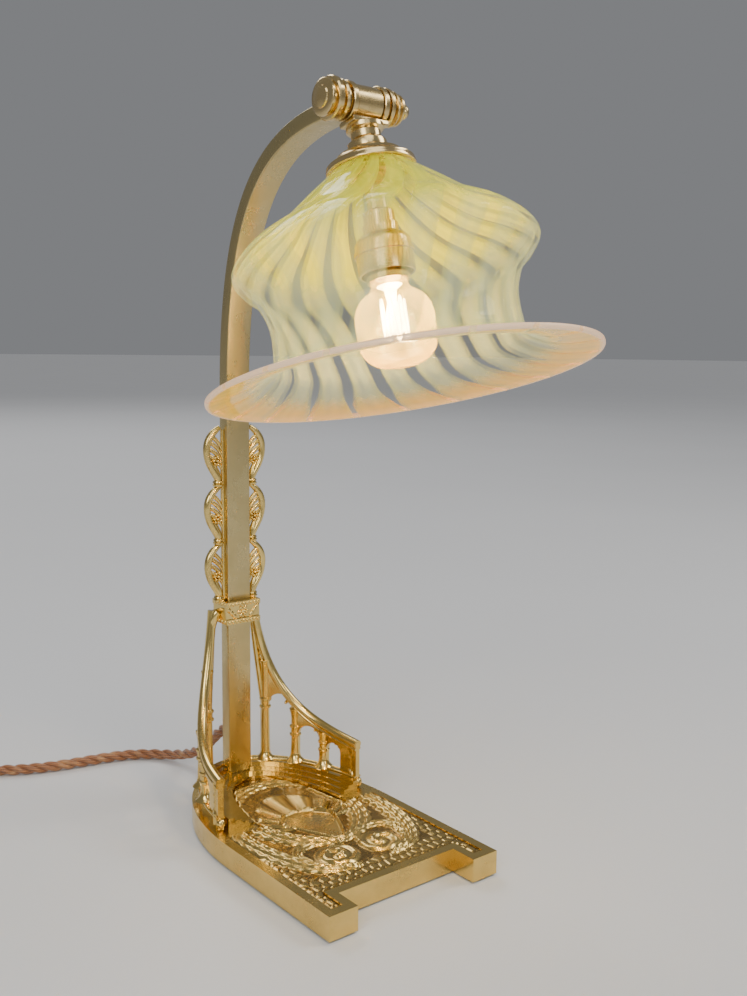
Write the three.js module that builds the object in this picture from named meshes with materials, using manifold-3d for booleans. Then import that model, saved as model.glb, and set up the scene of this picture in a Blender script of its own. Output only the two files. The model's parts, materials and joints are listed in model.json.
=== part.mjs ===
// Brass desk lamp: cast base with a fretted gallery, square tube post bent over
// into an arm, a tilting shade holder and a hat-shaped glass shade.
// Millimetres, +Z up. The origin is on the underside of the base, at the middle
// of its plan, the shade reaches out to -Y and the flex leaves the post at +Y.

import * as THREE from 'three';
import { mergeVertices } from 'three/addons/utils/BufferGeometryUtils.js';
import Module from 'manifold-3d';

// ---------- driving dimensions ----------

// Clearances between neighbouring pieces
const GAP = 0.3;
const OVERCUT = 1;

// Base plate: straight sides, half-ellipse back, a notch between two front feet
const BASE_WIDTH = 114;
const BASE_FRONT = 96;
const BASE_BACK = 96;
const BASE_TOP = 14;
const FOOT_WIDTH = 17.7;
const NOTCH_DEPTH = 16;
const PAD_THICKNESS = 1;
const PAD_INSET = 1.5;
const BORDER_WIDTH = 5.5;
const POCKET_DEPTH = 1;
const POCKET_END_Y = 6;
const DISH_RADIUS = 30;
const DISH_DEPTH = 3.4;
const DISH_Y = 18;

// Gallery: a fretted wall that follows the back of the plate
const WALL_LEDGE = 5;
const WALL_THICKNESS = 3.4;
const WALL_START_ANGLE = 12;
const END_BLOCK_ANGLE = 21;
const BALUSTER_ANGLES = [31, 47, 65];
const BALUSTER_HALF_ANGLE = 2;
const BALUSTER_RADIUS = 2.3;
const BALUSTER_WAIST = 1.5;
const COLUMN_RADIUS = 3;
const SILL_TOP = 21;
const RAIL_LOW = 41;
const RAIL_RADIUS = 2.5;
const ARCH_DROP = 6;
const END_BALL_RADIUS = 2.6;
const BAND_STEPS = 4;
const BAND_STEP_WIDTH = 4;
const BAND_STEP_HEIGHT = 1.6;

// Post and arm: one rectangular tube
const TUBE_WIDTH = 16;
const TUBE_DEPTH = 9;
const TUBE_WALL = 1.2;
const POST_STRAIGHT_TOP = 250;
const KNUCKLE_Z = 407.7;
const ARM_REACH = 124;
const BEND_LIFT = 106;
const BEND_LEAD = 92;
const ARM_END_DIP = 2;
const TUBE_STEPS = 44;

// Collar and side scrolls on the post
const COLLAR_BOTTOM = 116;
const COLLAR_HEIGHT = 14;
const COLLAR_WALL = 4;
const COLLAR_LIP = 1.2;
const COLLAR_LIP_HEIGHT = 3;
const COLLAR_FRONT = 4;
const SCROLL_TIERS = 3;
const SCROLL_PITCH = 36;
const SCROLL_REACH = 13.5;
const SCROLL_THICKNESS = 5;
const SCROLL_EYE_RADIUS = 1.9;

// Post fixing under the base
const SCREW_RADIUS = 2.9;
const SCREW_HEAD_RADIUS = 5.5;
const SCREW_HEAD_HEIGHT = 3.4;
const WASHER_THICKNESS = 1;
const WASHER_RADIUS = 6.5;
const COUNTERBORE_DEPTH = 5.5;
const PLUG_HEIGHT = 18;
const SCREW_LENGTH = 20;
const THREAD_DEPTH = 0.5;

// Flex entry at the back of the post
const ENTRY_Z = 42;
const CORD_DIAMETER = 7;
const BUSH_WALL = 1.2;
const BUSH_FLANGE = 2;
const BUSH_FLANGE_RADIUS = 6.6;
const LEAD_DIAMETER = 4;

// Tilting knuckle, its axis along X
const EYE_RADIUS = 9;
const PIVOT_RADIUS = 3;
const CHEEK_RADIUS = 10;
const CHEEK_THICKNESS = 3;
const EYE_BOSS = 3;
const PIVOT_WASHER_RADIUS = 7;
const KNOB_LENGTH = 17;
const FINIAL_LENGTH = 17.5;
const KNOB_RADIUS = 9.4;
const BRIDGE_THICKNESS = 3;
const BRIDGE_DEPTH = 12;

// Shade head, measured down its own axis from the tilt axis
const TILT_AT_REST = 15;
const NECK_RADIUS = 9.7;
const NECK_WAIST = 7.8;
const NECK_END = 24.6;
const NIPPLE_RADIUS = 5;
const NIPPLE_BORE = 3.3;
const NIPPLE_END = 62;
const CAP_RADIUS = 23;
const CAP_HEIGHT = 10;
const CAP_WALL = 1.4;
const GLASS_THICKNESS = 2.6;
const GLASS_HOLE = 8;
const GLASS_DROP = 2.2;
const RING_RADIUS = 13;
const RING_SEAT = 1.8;
const RING_THICKNESS = 2;
const NUT_RADIUS = 8.5;
const NUT_HEIGHT = 4.5;
const SHADE_SEGMENTS = 32;
const SHADE_STEPS = 21;
const SHADE_SHOULDER_RADIUS = 77;
const SHADE_WAIST_RADIUS = 62.3;
const SHADE_BRIM_RADIUS = 98.8;
const SHADE_HEIGHT = 109.5;

// Lampholder and bulb
const HOLDER_TOP = 56;
const HOLDER_CAP_RADIUS = 9;
const HOLDER_CAP_HEIGHT = 12;
const HOLDER_RADIUS = 14.5;
const HOLDER_HEIGHT = 20;
const HOLDER_WALL = 1.2;
const INSULATOR_THICKNESS = 4.5;
const PLUNGER_RADIUS = 1.8;
const PLUNGER_SPACING = 7;
const PLUNGER_LENGTH = 7;
const BULB_CAP_CLEARANCE = 2.3;
const BULB_CAP_HEIGHT = 13;
const BULB_RADIUS = 20;
const BULB_LENGTH = 43;
const BULB_WALL = 1;
const STEM_LENGTH = 24;

// Flex coil and mains plug
const COIL_CENTRE = [-182.3, 191.9];
const COIL_OUTER_TURN = 50.5;
const COIL_TURNS = 2.67;
const COIL_LAYERS = 2;
const PLUG_SIZE = [50, 50];
const PLUG_COVER_HEIGHT = 8;
const PLUG_BODY_HEIGHT = 11;
const PLUG_CENTRE = [-224, 104];
const PLUG_CORNER = 9;
const PIN_LENGTH = 17.7;
const EARTH_PIN_LENGTH = 22.7;

// ---------- values worked out from the driving dimensions ----------

const WALL_A = BASE_WIDTH / 2 - WALL_LEDGE;
const WALL_B = BASE_BACK - WALL_LEDGE;
const WALL_MID_A = WALL_A - WALL_THICKNESS / 2;
const WALL_MID_B = WALL_B - WALL_THICKNESS / 2;
const WALL_INNER_A = WALL_A - WALL_THICKNESS;
const WALL_INNER_B = WALL_B - WALL_THICKNESS;

// The post stands just inside the wall, where the wall's inner face meets its back corners.
const POST_BACK = ellipseY(TUBE_WIDTH / 2, WALL_INNER_A, WALL_INNER_B) - GAP;
const POST_Y = POST_BACK - TUBE_DEPTH / 2;
const POST_FRONT = POST_BACK - TUBE_DEPTH;
const KNUCKLE_Y = POST_Y - ARM_REACH;
const COLLAR_TOP = COLLAR_BOTTOM + COLLAR_HEIGHT;
const RAIL_TOP = COLLAR_BOTTOM + COLLAR_HEIGHT / 2;
const COLLAR_HALF_WIDTH = TUBE_WIDTH / 2 + COLLAR_WALL;
const COIL_INNER_TURN = COIL_OUTER_TURN - COIL_TURNS * CORD_DIAMETER;
const COIL_HEIGHT = COIL_LAYERS * CORD_DIAMETER + GAP;
const CAP_TOP = NECK_END + GAP;
const GLASS_TOP = CAP_TOP + CAP_HEIGHT - CAP_WALL - GLASS_DROP;
const RING_TOP = GLASS_TOP + GLASS_THICKNESS + RING_SEAT;
const NUT_TOP = RING_TOP + RING_THICKNESS + GAP;
const BARREL_TOP = HOLDER_TOP + HOLDER_CAP_HEIGHT + GAP;
const BARREL_END = BARREL_TOP + HOLDER_HEIGHT;
const INSULATOR_TOP = BARREL_TOP + HOLDER_WALL + 2;
const PLUNGER_TOP = INSULATOR_TOP + GAP;
const BULB_CAP_TOP = PLUNGER_TOP + PLUNGER_LENGTH + GAP;
const BULB_CAP_RADIUS = HOLDER_RADIUS - HOLDER_WALL - BULB_CAP_CLEARANCE;
const BULB_TOP = BULB_CAP_TOP + BULB_CAP_HEIGHT - 2;
const BUSH_SLEEVE_RADIUS = CORD_DIAMETER / 2 + GAP + BUSH_WALL;
const WASHER_X = TUBE_WIDTH / 2 + GAP + CHEEK_THICKNESS + GAP;
const KNOB_X = WASHER_X + WASHER_THICKNESS + GAP;
const PIVOT_LEFT = KNOB_X + KNOB_LENGTH * 0.75;
const PIVOT_RIGHT = KNOB_X + FINIAL_LENGTH * 0.6;

// ---------- materials ----------

const finish = (color, roughness, metalness) =>
  new THREE.MeshStandardMaterial({ color, roughness, metalness });

const BRASS = finish(0xc9a24a, 0.25, 1);
const CAST_BRASS = finish(0xbb9038, 0.4, 1);
const STEEL = finish(0x9a9a98, 0.4, 1);
const BAIZE = finish(0x1f4a2c, 0.95, 0);
const GLASS = finish(0xe6e6a0, 0.15, 0);
const BULB_GLASS = finish(0xffe0a0, 0.1, 0);
const TUNGSTEN = finish(0xffb050, 0.5, 0);
const CERAMIC = finish(0xe8e2d4, 0.5, 0);
const FLEX = finish(0x8a5a34, 0.8, 0);
const MOULDED = finish(0x1d1a18, 0.4, 0);

// ---------- helpers ----------

const wasm = await Module();
wasm.setup();

function ellipseY(x, a, b) {
  return b * Math.sqrt(1 - (x / a) ** 2);
}

function ellipsePoint(degrees, a, b) {
  const t = THREE.MathUtils.degToRad(degrees);
  return new THREE.Vector2(a * Math.cos(t), b * Math.sin(t));
}

// A closed geometry as a solid for cutting and joining.
function solid(geometry) {
  const bare = new THREE.BufferGeometry();
  bare.setAttribute('position', geometry.getAttribute('position'));
  bare.setIndex(geometry.getIndex());
  const merged = mergeVertices(bare, 1e-4);
  const corners = merged.getIndex().array;
  const triVerts = [];
  for (let i = 0; i < corners.length; i += 3) {
    const [a, b, c] = [corners[i], corners[i + 1], corners[i + 2]];
    if (a !== b && b !== c && c !== a) {
      triVerts.push(a, b, c);
    }
  }
  const vertProperties = new Float32Array(merged.getAttribute('position').array);
  return new wasm.Manifold(
    new wasm.Mesh({ numProp: 3, vertProperties, triVerts: new Uint32Array(triVerts) }));
}

function fromSolid(body) {
  const { vertProperties, triVerts } = body.getMesh();
  const geometry = new THREE.BufferGeometry();
  geometry.setAttribute('position', new THREE.BufferAttribute(vertProperties, 3));
  geometry.setIndex(new THREE.BufferAttribute(triVerts, 1));
  geometry.computeVertexNormals();
  return geometry;
}

function join(first, ...others) {
  return others.reduce((body, other) => body.add(other), first);
}

function cut(first, ...others) {
  return others.reduce((body, other) => body.subtract(other), first);
}

// A box from its lowest to its highest corner.
function block(low, high) {
  const size = high.map((value, axis) => value - low[axis]);
  const geometry = new THREE.BoxGeometry(...size);
  geometry.translate(...low.map((value, axis) => value + size[axis] / 2));
  return geometry;
}

// A flat shape in XY, raised from one height to another.
function slab(shape, bottom, top, curveSegments = 24) {
  const geometry = new THREE.ExtrudeGeometry(shape, {
    depth: top - bottom, bevelEnabled: false, curveSegments });
  geometry.translate(0, 0, bottom);
  return geometry;
}

// A flat shape in XZ, run along Y from one place to another.
function slabAlongY(shape, front, back, curveSegments = 12) {
  const geometry = new THREE.ExtrudeGeometry(shape, {
    depth: back - front, bevelEnabled: false, curveSegments });
  geometry.rotateX(Math.PI / 2);
  geometry.translate(0, back, 0);
  return geometry;
}

// A turned piece about Z. Points are [radius, height] and run anticlockwise
// round the section, starting and ending on the axis or closing on themselves.
function turned(points, segments = 16) {
  const profile = points.map(([radius, height]) => new THREE.Vector2(radius, height));
  const geometry = new THREE.LatheGeometry(profile, segments);
  geometry.rotateX(Math.PI / 2);
  return geometry;
}

// A washer-like ring about Z.
function ring(inner, outer, bottom, top, segments = 16) {
  return turned([
    [inner, bottom], [outer, bottom], [outer, top], [inner, top], [inner, bottom],
  ], segments);
}

function rod(radius, bottom, top, segments = 16) {
  return turned([[0, bottom], [radius, bottom], [radius, top], [0, top]], segments);
}

function mirroredX(geometry) {
  const copy = geometry.clone();
  copy.scale(-1, 1, 1);
  const corners = copy.getIndex().array;
  for (let i = 0; i < corners.length; i += 3) {
    [corners[i], corners[i + 1]] = [corners[i + 1], corners[i]];
  }
  return copy;
}

// A round tube of the given diameter along a curve through points.
function tubeThrough(points, diameter, steps, sides) {
  const curve = new THREE.CatmullRomCurve3(
    points.map((point) => new THREE.Vector3(...point)), false, 'centripetal');
  return tubeAlong(curve, diameter, steps, sides);
}

function tubeAlong(curve, diameter, steps, sides) {
  const section = new THREE.Shape();
  for (let side = 0; side < sides; side += 1) {
    const angle = (2 * Math.PI * side) / sides;
    const x = (diameter / 2) * Math.cos(angle);
    const y = (diameter / 2) * Math.sin(angle);
    if (side === 0) {
      section.moveTo(x, y);
    } else {
      section.lineTo(x, y);
    }
  }
  section.closePath();
  return new THREE.ExtrudeGeometry(section, { steps, extrudePath: curve, bevelEnabled: false });
}

const lamp = new THREE.Group();
const shadeHead = new THREE.Group();
shadeHead.position.set(0, KNUCKLE_Y, KNUCKLE_Z);
shadeHead.rotation.x = -THREE.MathUtils.degToRad(TILT_AT_REST);
lamp.add(shadeHead);

function place(group, name, geometry, material) {
  const mesh = new THREE.Mesh(geometry, material);
  mesh.name = name;
  group.add(mesh);
  return mesh;
}

// ---------- base ----------

function plateOutline(inset) {
  const side = BASE_WIDTH / 2 - inset;
  const front = -BASE_FRONT + inset;
  const footInner = BASE_WIDTH / 2 - FOOT_WIDTH + inset;
  const notch = -BASE_FRONT + NOTCH_DEPTH + inset;
  const shape = new THREE.Shape();
  shape.moveTo(-side, front);
  shape.lineTo(-footInner, front);
  shape.lineTo(-footInner, notch);
  shape.lineTo(footInner, notch);
  shape.lineTo(footInner, front);
  shape.lineTo(side, front);
  shape.absellipse(0, 0, side, BASE_BACK - inset, 0, Math.PI, false, 0);
  shape.closePath();
  return shape;
}

// The chased field sits a little below the border and ends against the band.
function pocketOutline() {
  const side = BASE_WIDTH / 2 - BORDER_WIDTH;
  const front = -BASE_FRONT + BORDER_WIDTH;
  const footInner = BASE_WIDTH / 2 - FOOT_WIDTH + BORDER_WIDTH;
  const notch = -BASE_FRONT + NOTCH_DEPTH + BORDER_WIDTH;
  const bandA = WALL_INNER_A - BAND_STEPS * BAND_STEP_WIDTH - 2 * GAP;
  const bandB = WALL_INNER_B - BAND_STEPS * BAND_STEP_WIDTH - 2 * GAP;
  const start = Math.asin(POCKET_END_Y / bandB);
  const shape = new THREE.Shape();
  shape.moveTo(-side, front);
  shape.lineTo(-footInner, front);
  shape.lineTo(-footInner, notch);
  shape.lineTo(footInner, notch);
  shape.lineTo(footInner, front);
  shape.lineTo(side, front);
  shape.lineTo(side, POCKET_END_Y);
  shape.absellipse(0, 0, bandA, bandB, start, Math.PI - start, false, 0);
  shape.lineTo(-side, POCKET_END_Y);
  shape.closePath();
  return shape;
}

function basePlate() {
  const plate = solid(slab(plateOutline(0), PAD_THICKNESS, BASE_TOP));
  const pocketFloor = BASE_TOP - POCKET_DEPTH;
  const pocket = solid(slab(pocketOutline(), pocketFloor, BASE_TOP + OVERCUT));
  const ball = (DISH_RADIUS ** 2 + DISH_DEPTH ** 2) / (2 * DISH_DEPTH);
  const dishGeometry = new THREE.SphereGeometry(ball, 32, 64);
  dishGeometry.rotateX(Math.PI / 2);
  dishGeometry.translate(0, DISH_Y, pocketFloor - DISH_DEPTH + ball);
  const screwHole = rod(SCREW_RADIUS + GAP, 0, BASE_TOP + OVERCUT);
  screwHole.translate(0, POST_Y, 0);
  const counterbore = rod(WASHER_RADIUS + GAP, 0, PAD_THICKNESS + COUNTERBORE_DEPTH);
  counterbore.translate(0, POST_Y, 0);
  return fromSolid(cut(plate, pocket, solid(dishGeometry), solid(screwHole), solid(counterbore)));
}

place(lamp, 'base_plate', basePlate(), CAST_BRASS);
place(lamp, 'baize_pad', slab(plateOutline(PAD_INSET), 0, PAD_THICKNESS), BAIZE);

// ---------- gallery ----------

// A strip of plan between two ellipses, over a range of angles.
function planStrip(outerA, outerB, innerA, innerB, startDegrees, endDegrees) {
  const start = THREE.MathUtils.degToRad(startDegrees);
  const end = THREE.MathUtils.degToRad(endDegrees);
  const shape = new THREE.Shape();
  shape.absellipse(0, 0, outerA, outerB, start, end, false, 0);
  shape.absellipse(0, 0, innerA, innerB, end, start, true, 0);
  shape.closePath();
  return shape;
}

// Seen from the front, the top rail falls in one hollow curve from collar to end block.
const railFront = new THREE.CubicBezierCurve(
  new THREE.Vector2(COLLAR_HALF_WIDTH + GAP + RAIL_RADIUS, RAIL_TOP),
  new THREE.Vector2(COLLAR_HALF_WIDTH + 6, RAIL_TOP * 0.76),
  new THREE.Vector2(WALL_MID_A * 0.56, RAIL_LOW + 16),
  new THREE.Vector2(ellipsePoint(WALL_START_ANGLE, WALL_MID_A, WALL_MID_B).x, RAIL_LOW));

function railHeightAt(x) {
  const samples = railFront.getPoints(60);
  const after = samples.findIndex((point) => point.x >= x);
  if (after < 1) {
    return after === 0 ? RAIL_TOP : RAIL_LOW;
  }
  const [low, high] = [samples[after - 1], samples[after]];
  const share = (x - low.x) / (high.x - low.x);
  return low.y + share * (high.y - low.y);
}

function railCurve() {
  const points = railFront.getPoints(14).map((point) =>
    new THREE.Vector3(point.x, ellipseY(point.x, WALL_MID_A, WALL_MID_B), point.y));
  return new THREE.CatmullRomCurve3(points, false, 'centripetal');
}

// A solid that holds everything above the rail's centre line.
function aboveRail() {
  const shape = new THREE.Shape();
  const points = railFront.getPoints(14);
  shape.moveTo(0, RAIL_TOP);
  points.forEach((point) => shape.lineTo(point.x, point.y));
  shape.lineTo(BASE_WIDTH, RAIL_LOW);
  shape.lineTo(BASE_WIDTH, COLLAR_TOP + BASE_BACK);
  shape.lineTo(0, COLLAR_TOP + BASE_BACK);
  shape.closePath();
  return solid(slabAlongY(shape, -OVERCUT, BASE_BACK + OVERCUT));
}

// The tall open bay beside the post, with an arched outer side.
function postBay() {
  const outer = ellipsePoint(
    BALUSTER_ANGLES[BALUSTER_ANGLES.length - 1] + BALUSTER_HALF_ANGLE, WALL_MID_A, WALL_MID_B).x;
  const spring = SILL_TOP + (COLLAR_BOTTOM - SILL_TOP) * 0.4;
  const shape = new THREE.Shape();
  shape.moveTo(0, SILL_TOP);
  shape.lineTo(outer, SILL_TOP);
  shape.lineTo(outer, spring);
  shape.quadraticCurveTo(outer, COLLAR_BOTTOM - 18, COLLAR_HALF_WIDTH, COLLAR_BOTTOM);
  shape.lineTo(0, COLLAR_BOTTOM);
  shape.closePath();
  return solid(slabAlongY(shape, WALL_B / 2, BASE_BACK + OVERCUT));
}

// An arched opening through the wall between two angles.
function archedBay(startDegrees, endDegrees) {
  const start = ellipsePoint(startDegrees, WALL_MID_A, WALL_MID_B);
  const end = ellipsePoint(endDegrees, WALL_MID_A, WALL_MID_B);
  const middle = start.clone().add(end).multiplyScalar(0.5);
  const half = start.distanceTo(end) / 2;
  const top = railHeightAt(middle.x) - ARCH_DROP;
  const spring = Math.max(top - half, SILL_TOP + 1);
  const shape = new THREE.Shape();
  shape.moveTo(-half, SILL_TOP);
  shape.lineTo(half, SILL_TOP);
  shape.lineTo(half, spring);
  shape.absellipse(0, spring, half, top - spring, 0, Math.PI, false, 0);
  shape.closePath();
  const geometry = slabAlongY(shape, -3 * WALL_THICKNESS, 3 * WALL_THICKNESS, 6);
  const along = end.clone().sub(start);
  geometry.rotateZ(Math.atan2(along.y, along.x));
  geometry.translate(middle.x, middle.y, 0);
  return solid(geometry);
}

function baluster(degrees) {
  const foot = ellipsePoint(degrees, WALL_MID_A, WALL_MID_B);
  const top = railHeightAt(foot.x);
  const ringZ = SILL_TOP + (top - SILL_TOP) * 0.55;
  const geometry = turned([
    [0, SILL_TOP - OVERCUT],
    [BALUSTER_RADIUS, SILL_TOP - OVERCUT],
    [BALUSTER_RADIUS, SILL_TOP + 2],
    [BALUSTER_WAIST, ringZ - 2],
    [BALUSTER_RADIUS, ringZ - 1],
    [BALUSTER_RADIUS, ringZ + 1],
    [BALUSTER_WAIST, ringZ + 2],
    [BALUSTER_RADIUS, top],
    [0, top],
  ], 8);
  geometry.translate(foot.x, foot.y, 0);
  return solid(geometry);
}

function wing() {
  const innerX = COLLAR_HALF_WIDTH + GAP;
  const endDegrees = THREE.MathUtils.radToDeg(Math.acos(innerX / WALL_MID_A));
  const strip = planStrip(
    WALL_A, WALL_B, WALL_INNER_A, WALL_INNER_B, WALL_START_ANGLE, endDegrees + 3);
  const wall = solid(slab(strip, BASE_TOP, RAIL_TOP, 18)).subtract(aboveRail());
  const bayEdges = [END_BLOCK_ANGLE, ...BALUSTER_ANGLES];
  const bays = BALUSTER_ANGLES.map((degrees, index) => archedBay(
    bayEdges[index] + (index ? BALUSTER_HALF_ANGLE : 0), degrees - BALUSTER_HALF_ANGLE));
  const rail = solid(tubeAlong(railCurve(), 2 * RAIL_RADIUS, 14, 6));
  const ballGeometry = new THREE.SphereGeometry(END_BALL_RADIUS, 8, 6);
  const end = ellipsePoint(WALL_START_ANGLE, WALL_MID_A, WALL_MID_B);
  ballGeometry.translate(end.x, end.y, BASE_TOP + END_BALL_RADIUS + GAP);
  const column = turned([
    [0, BASE_TOP], [COLUMN_RADIUS, BASE_TOP], [COLUMN_RADIUS, SILL_TOP + 1],
    [COLUMN_RADIUS * 0.7, SILL_TOP + 3], [COLUMN_RADIUS * 0.7, RAIL_LOW - 6],
    [COLUMN_RADIUS, RAIL_LOW - 3], [COLUMN_RADIUS, RAIL_LOW], [0, RAIL_LOW + 2],
  ], 8);
  const columnFoot = ellipsePoint(WALL_START_ANGLE + 3, WALL_MID_A, WALL_MID_B);
  column.translate(columnFoot.x, columnFoot.y, 0);
  const collarSide = solid(block(
    [-innerX, 0, BASE_TOP - OVERCUT], [innerX, BASE_BACK + OVERCUT, COLLAR_TOP + OVERCUT]));
  const body = join(
    cut(wall, postBay(), ...bays), rail, solid(ballGeometry), solid(column),
    ...BALUSTER_ANGLES.map(baluster));
  const belowSill = solid(slab(strip, BASE_TOP, SILL_TOP, 18));
  return fromSolid(body.add(belowSill).subtract(collarSide));
}

const wingRight = wing();
place(lamp, 'gallery_wing_right', wingRight, CAST_BRASS);
place(lamp, 'gallery_wing_left', mirroredX(wingRight), CAST_BRASS);

// Stepped moulding round the inside of the wall, notched for the post and running behind it.
function galleryBand() {
  const outerA = WALL_MID_A - COLUMN_RADIUS - GAP;
  const outerB = WALL_MID_B - COLUMN_RADIUS - GAP;
  const steps = [];
  for (let step = 1; step <= BAND_STEPS; step += 1) {
    const inset = step * BAND_STEP_WIDTH;
    const top = BASE_TOP + (BAND_STEPS + 1 - step) * BAND_STEP_HEIGHT;
    const strip = planStrip(outerA, outerB, outerA - inset, outerB - inset, 10, 170);
    steps.push(solid(slab(strip, BASE_TOP, top, 24)));
  }
  const postNotch = solid(block(
    [-TUBE_WIDTH / 2 - GAP, POST_FRONT - GAP, BASE_TOP - OVERCUT],
    [TUBE_WIDTH / 2 + GAP, BASE_BACK, SILL_TOP + OVERCUT]));
  return fromSolid(join(...steps).subtract(postNotch));
}

place(lamp, 'gallery_band', galleryBand(), CAST_BRASS);

// The sill of the wall behind the post, between the two wings.
function backSill() {
  const half = COLLAR_HALF_WIDTH;
  const degrees = THREE.MathUtils.radToDeg(Math.acos(half / WALL_MID_A));
  const strip = planStrip(WALL_A, WALL_B, WALL_INNER_A, WALL_INNER_B, degrees - 4, 184 - degrees);
  const sides = solid(block([-half, 0, 0], [half, BASE_BACK, SILL_TOP]));
  return fromSolid(solid(slab(strip, BASE_TOP, SILL_TOP, 12)).intersect(sides));
}

place(lamp, 'gallery_back_sill', backSill(), CAST_BRASS);

// ---------- post and arm ----------

function armPath(lowZ, startY, trim) {
  const start = new THREE.Vector3(0, startY, POST_STRAIGHT_TOP);
  const end = new THREE.Vector3(0, KNUCKLE_Y + EYE_RADIUS + EYE_BOSS + trim, KNUCKLE_Z);
  const lift = new THREE.Vector3(0, startY, POST_STRAIGHT_TOP + BEND_LIFT);
  const lead = new THREE.Vector3(0, end.y + BEND_LEAD - EYE_RADIUS, KNUCKLE_Z - ARM_END_DIP);
  const path = new THREE.CurvePath();
  path.add(new THREE.LineCurve3(new THREE.Vector3(0, startY, lowZ), start));
  path.add(new THREE.CubicBezierCurve3(start, lift, lead, end));
  return path;
}

function tubeSection() {
  const section = new THREE.Shape();
  const [halfDepth, halfWidth] = [TUBE_DEPTH / 2, TUBE_WIDTH / 2];
  section.moveTo(-halfDepth, -halfWidth);
  section.lineTo(halfDepth, -halfWidth);
  section.lineTo(halfDepth, halfWidth);
  section.lineTo(-halfDepth, halfWidth);
  section.closePath();
  const bore = new THREE.Path();
  const [boreDepth, boreWidth] = [halfDepth - TUBE_WALL, halfWidth - TUBE_WALL];
  bore.moveTo(-boreDepth, -boreWidth);
  bore.lineTo(-boreDepth, boreWidth);
  bore.lineTo(boreDepth, boreWidth);
  bore.lineTo(boreDepth, -boreWidth);
  bore.closePath();
  section.holes.push(bore);
  return section;
}

function postArm() {
  const tube = new THREE.ExtrudeGeometry(tubeSection(), {
    steps: TUBE_STEPS, extrudePath: armPath(BASE_TOP, POST_Y, 0), bevelEnabled: false });
  const entry = rod(BUSH_SLEEVE_RADIUS + GAP, 0, TUBE_DEPTH);
  entry.rotateX(-Math.PI / 2);
  entry.translate(0, POST_Y, ENTRY_Z);
  return fromSolid(solid(tube).subtract(solid(entry)));
}

place(lamp, 'post_arm', postArm(), BRASS);

const leadPath = armPath(ENTRY_Z + CORD_DIAMETER, POST_Y, 2);
place(lamp, 'inner_lead', tubeAlong(leadPath, LEAD_DIAMETER, 34, 8), FLEX);

function postPlug() {
  const halfWidth = TUBE_WIDTH / 2 - TUBE_WALL - GAP;
  const halfDepth = TUBE_DEPTH / 2 - TUBE_WALL - GAP;
  const body = solid(block(
    [-halfWidth, POST_Y - halfDepth, BASE_TOP],
    [halfWidth, POST_Y + halfDepth, BASE_TOP + PLUG_HEIGHT]));
  const bore = rod(SCREW_RADIUS - THREAD_DEPTH, BASE_TOP - OVERCUT, BASE_TOP + PLUG_HEIGHT - 2);
  bore.translate(0, POST_Y, 0);
  return fromSolid(body.subtract(solid(bore)));
}

place(lamp, 'post_plug', postPlug(), BRASS);

// Screw from below: a plain shank in the plate and a thinner threaded end in the plug.
const headTop = PAD_THICKNESS + COUNTERBORE_DEPTH - WASHER_THICKNESS;
const screwEnd = headTop + SCREW_LENGTH;
const threadRadius = SCREW_RADIUS - THREAD_DEPTH - GAP;
const footScrew = turned([
  [0, headTop - SCREW_HEAD_HEIGHT],
  [SCREW_HEAD_RADIUS, headTop - SCREW_HEAD_HEIGHT],
  [SCREW_HEAD_RADIUS, headTop],
  [SCREW_RADIUS, headTop],
  [SCREW_RADIUS, BASE_TOP - GAP],
  [threadRadius, BASE_TOP - GAP],
  [threadRadius, screwEnd],
  [0, screwEnd],
]);
footScrew.translate(0, POST_Y, 0);
place(lamp, 'foot_screw', footScrew, STEEL);

const footWasher = ring(
  SCREW_RADIUS + GAP, WASHER_RADIUS, headTop, headTop + WASHER_THICKNESS);
footWasher.translate(0, POST_Y, 0);
place(lamp, 'foot_washer', footWasher, STEEL);

function postCollar() {
  const back = ellipseY(COLLAR_HALF_WIDTH, WALL_A, WALL_B);
  const front = POST_FRONT - COLLAR_FRONT;
  const layer = (lip, bottom, top) => solid(block(
    [-COLLAR_HALF_WIDTH, front - lip, bottom], [COLLAR_HALF_WIDTH, back + lip, top]));
  const body = join(
    layer(COLLAR_LIP, COLLAR_BOTTOM, COLLAR_BOTTOM + COLLAR_LIP_HEIGHT),
    layer(0, COLLAR_BOTTOM, COLLAR_TOP),
    layer(COLLAR_LIP, COLLAR_TOP - COLLAR_LIP_HEIGHT, COLLAR_TOP));
  const hole = solid(block(
    [-TUBE_WIDTH / 2 - GAP, POST_FRONT - GAP, COLLAR_BOTTOM - OVERCUT],
    [TUBE_WIDTH / 2 + GAP, POST_BACK + GAP, COLLAR_TOP + OVERCUT]));
  return fromSolid(body.subtract(hole));
}

place(lamp, 'post_collar', postCollar(), CAST_BRASS);

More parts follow.
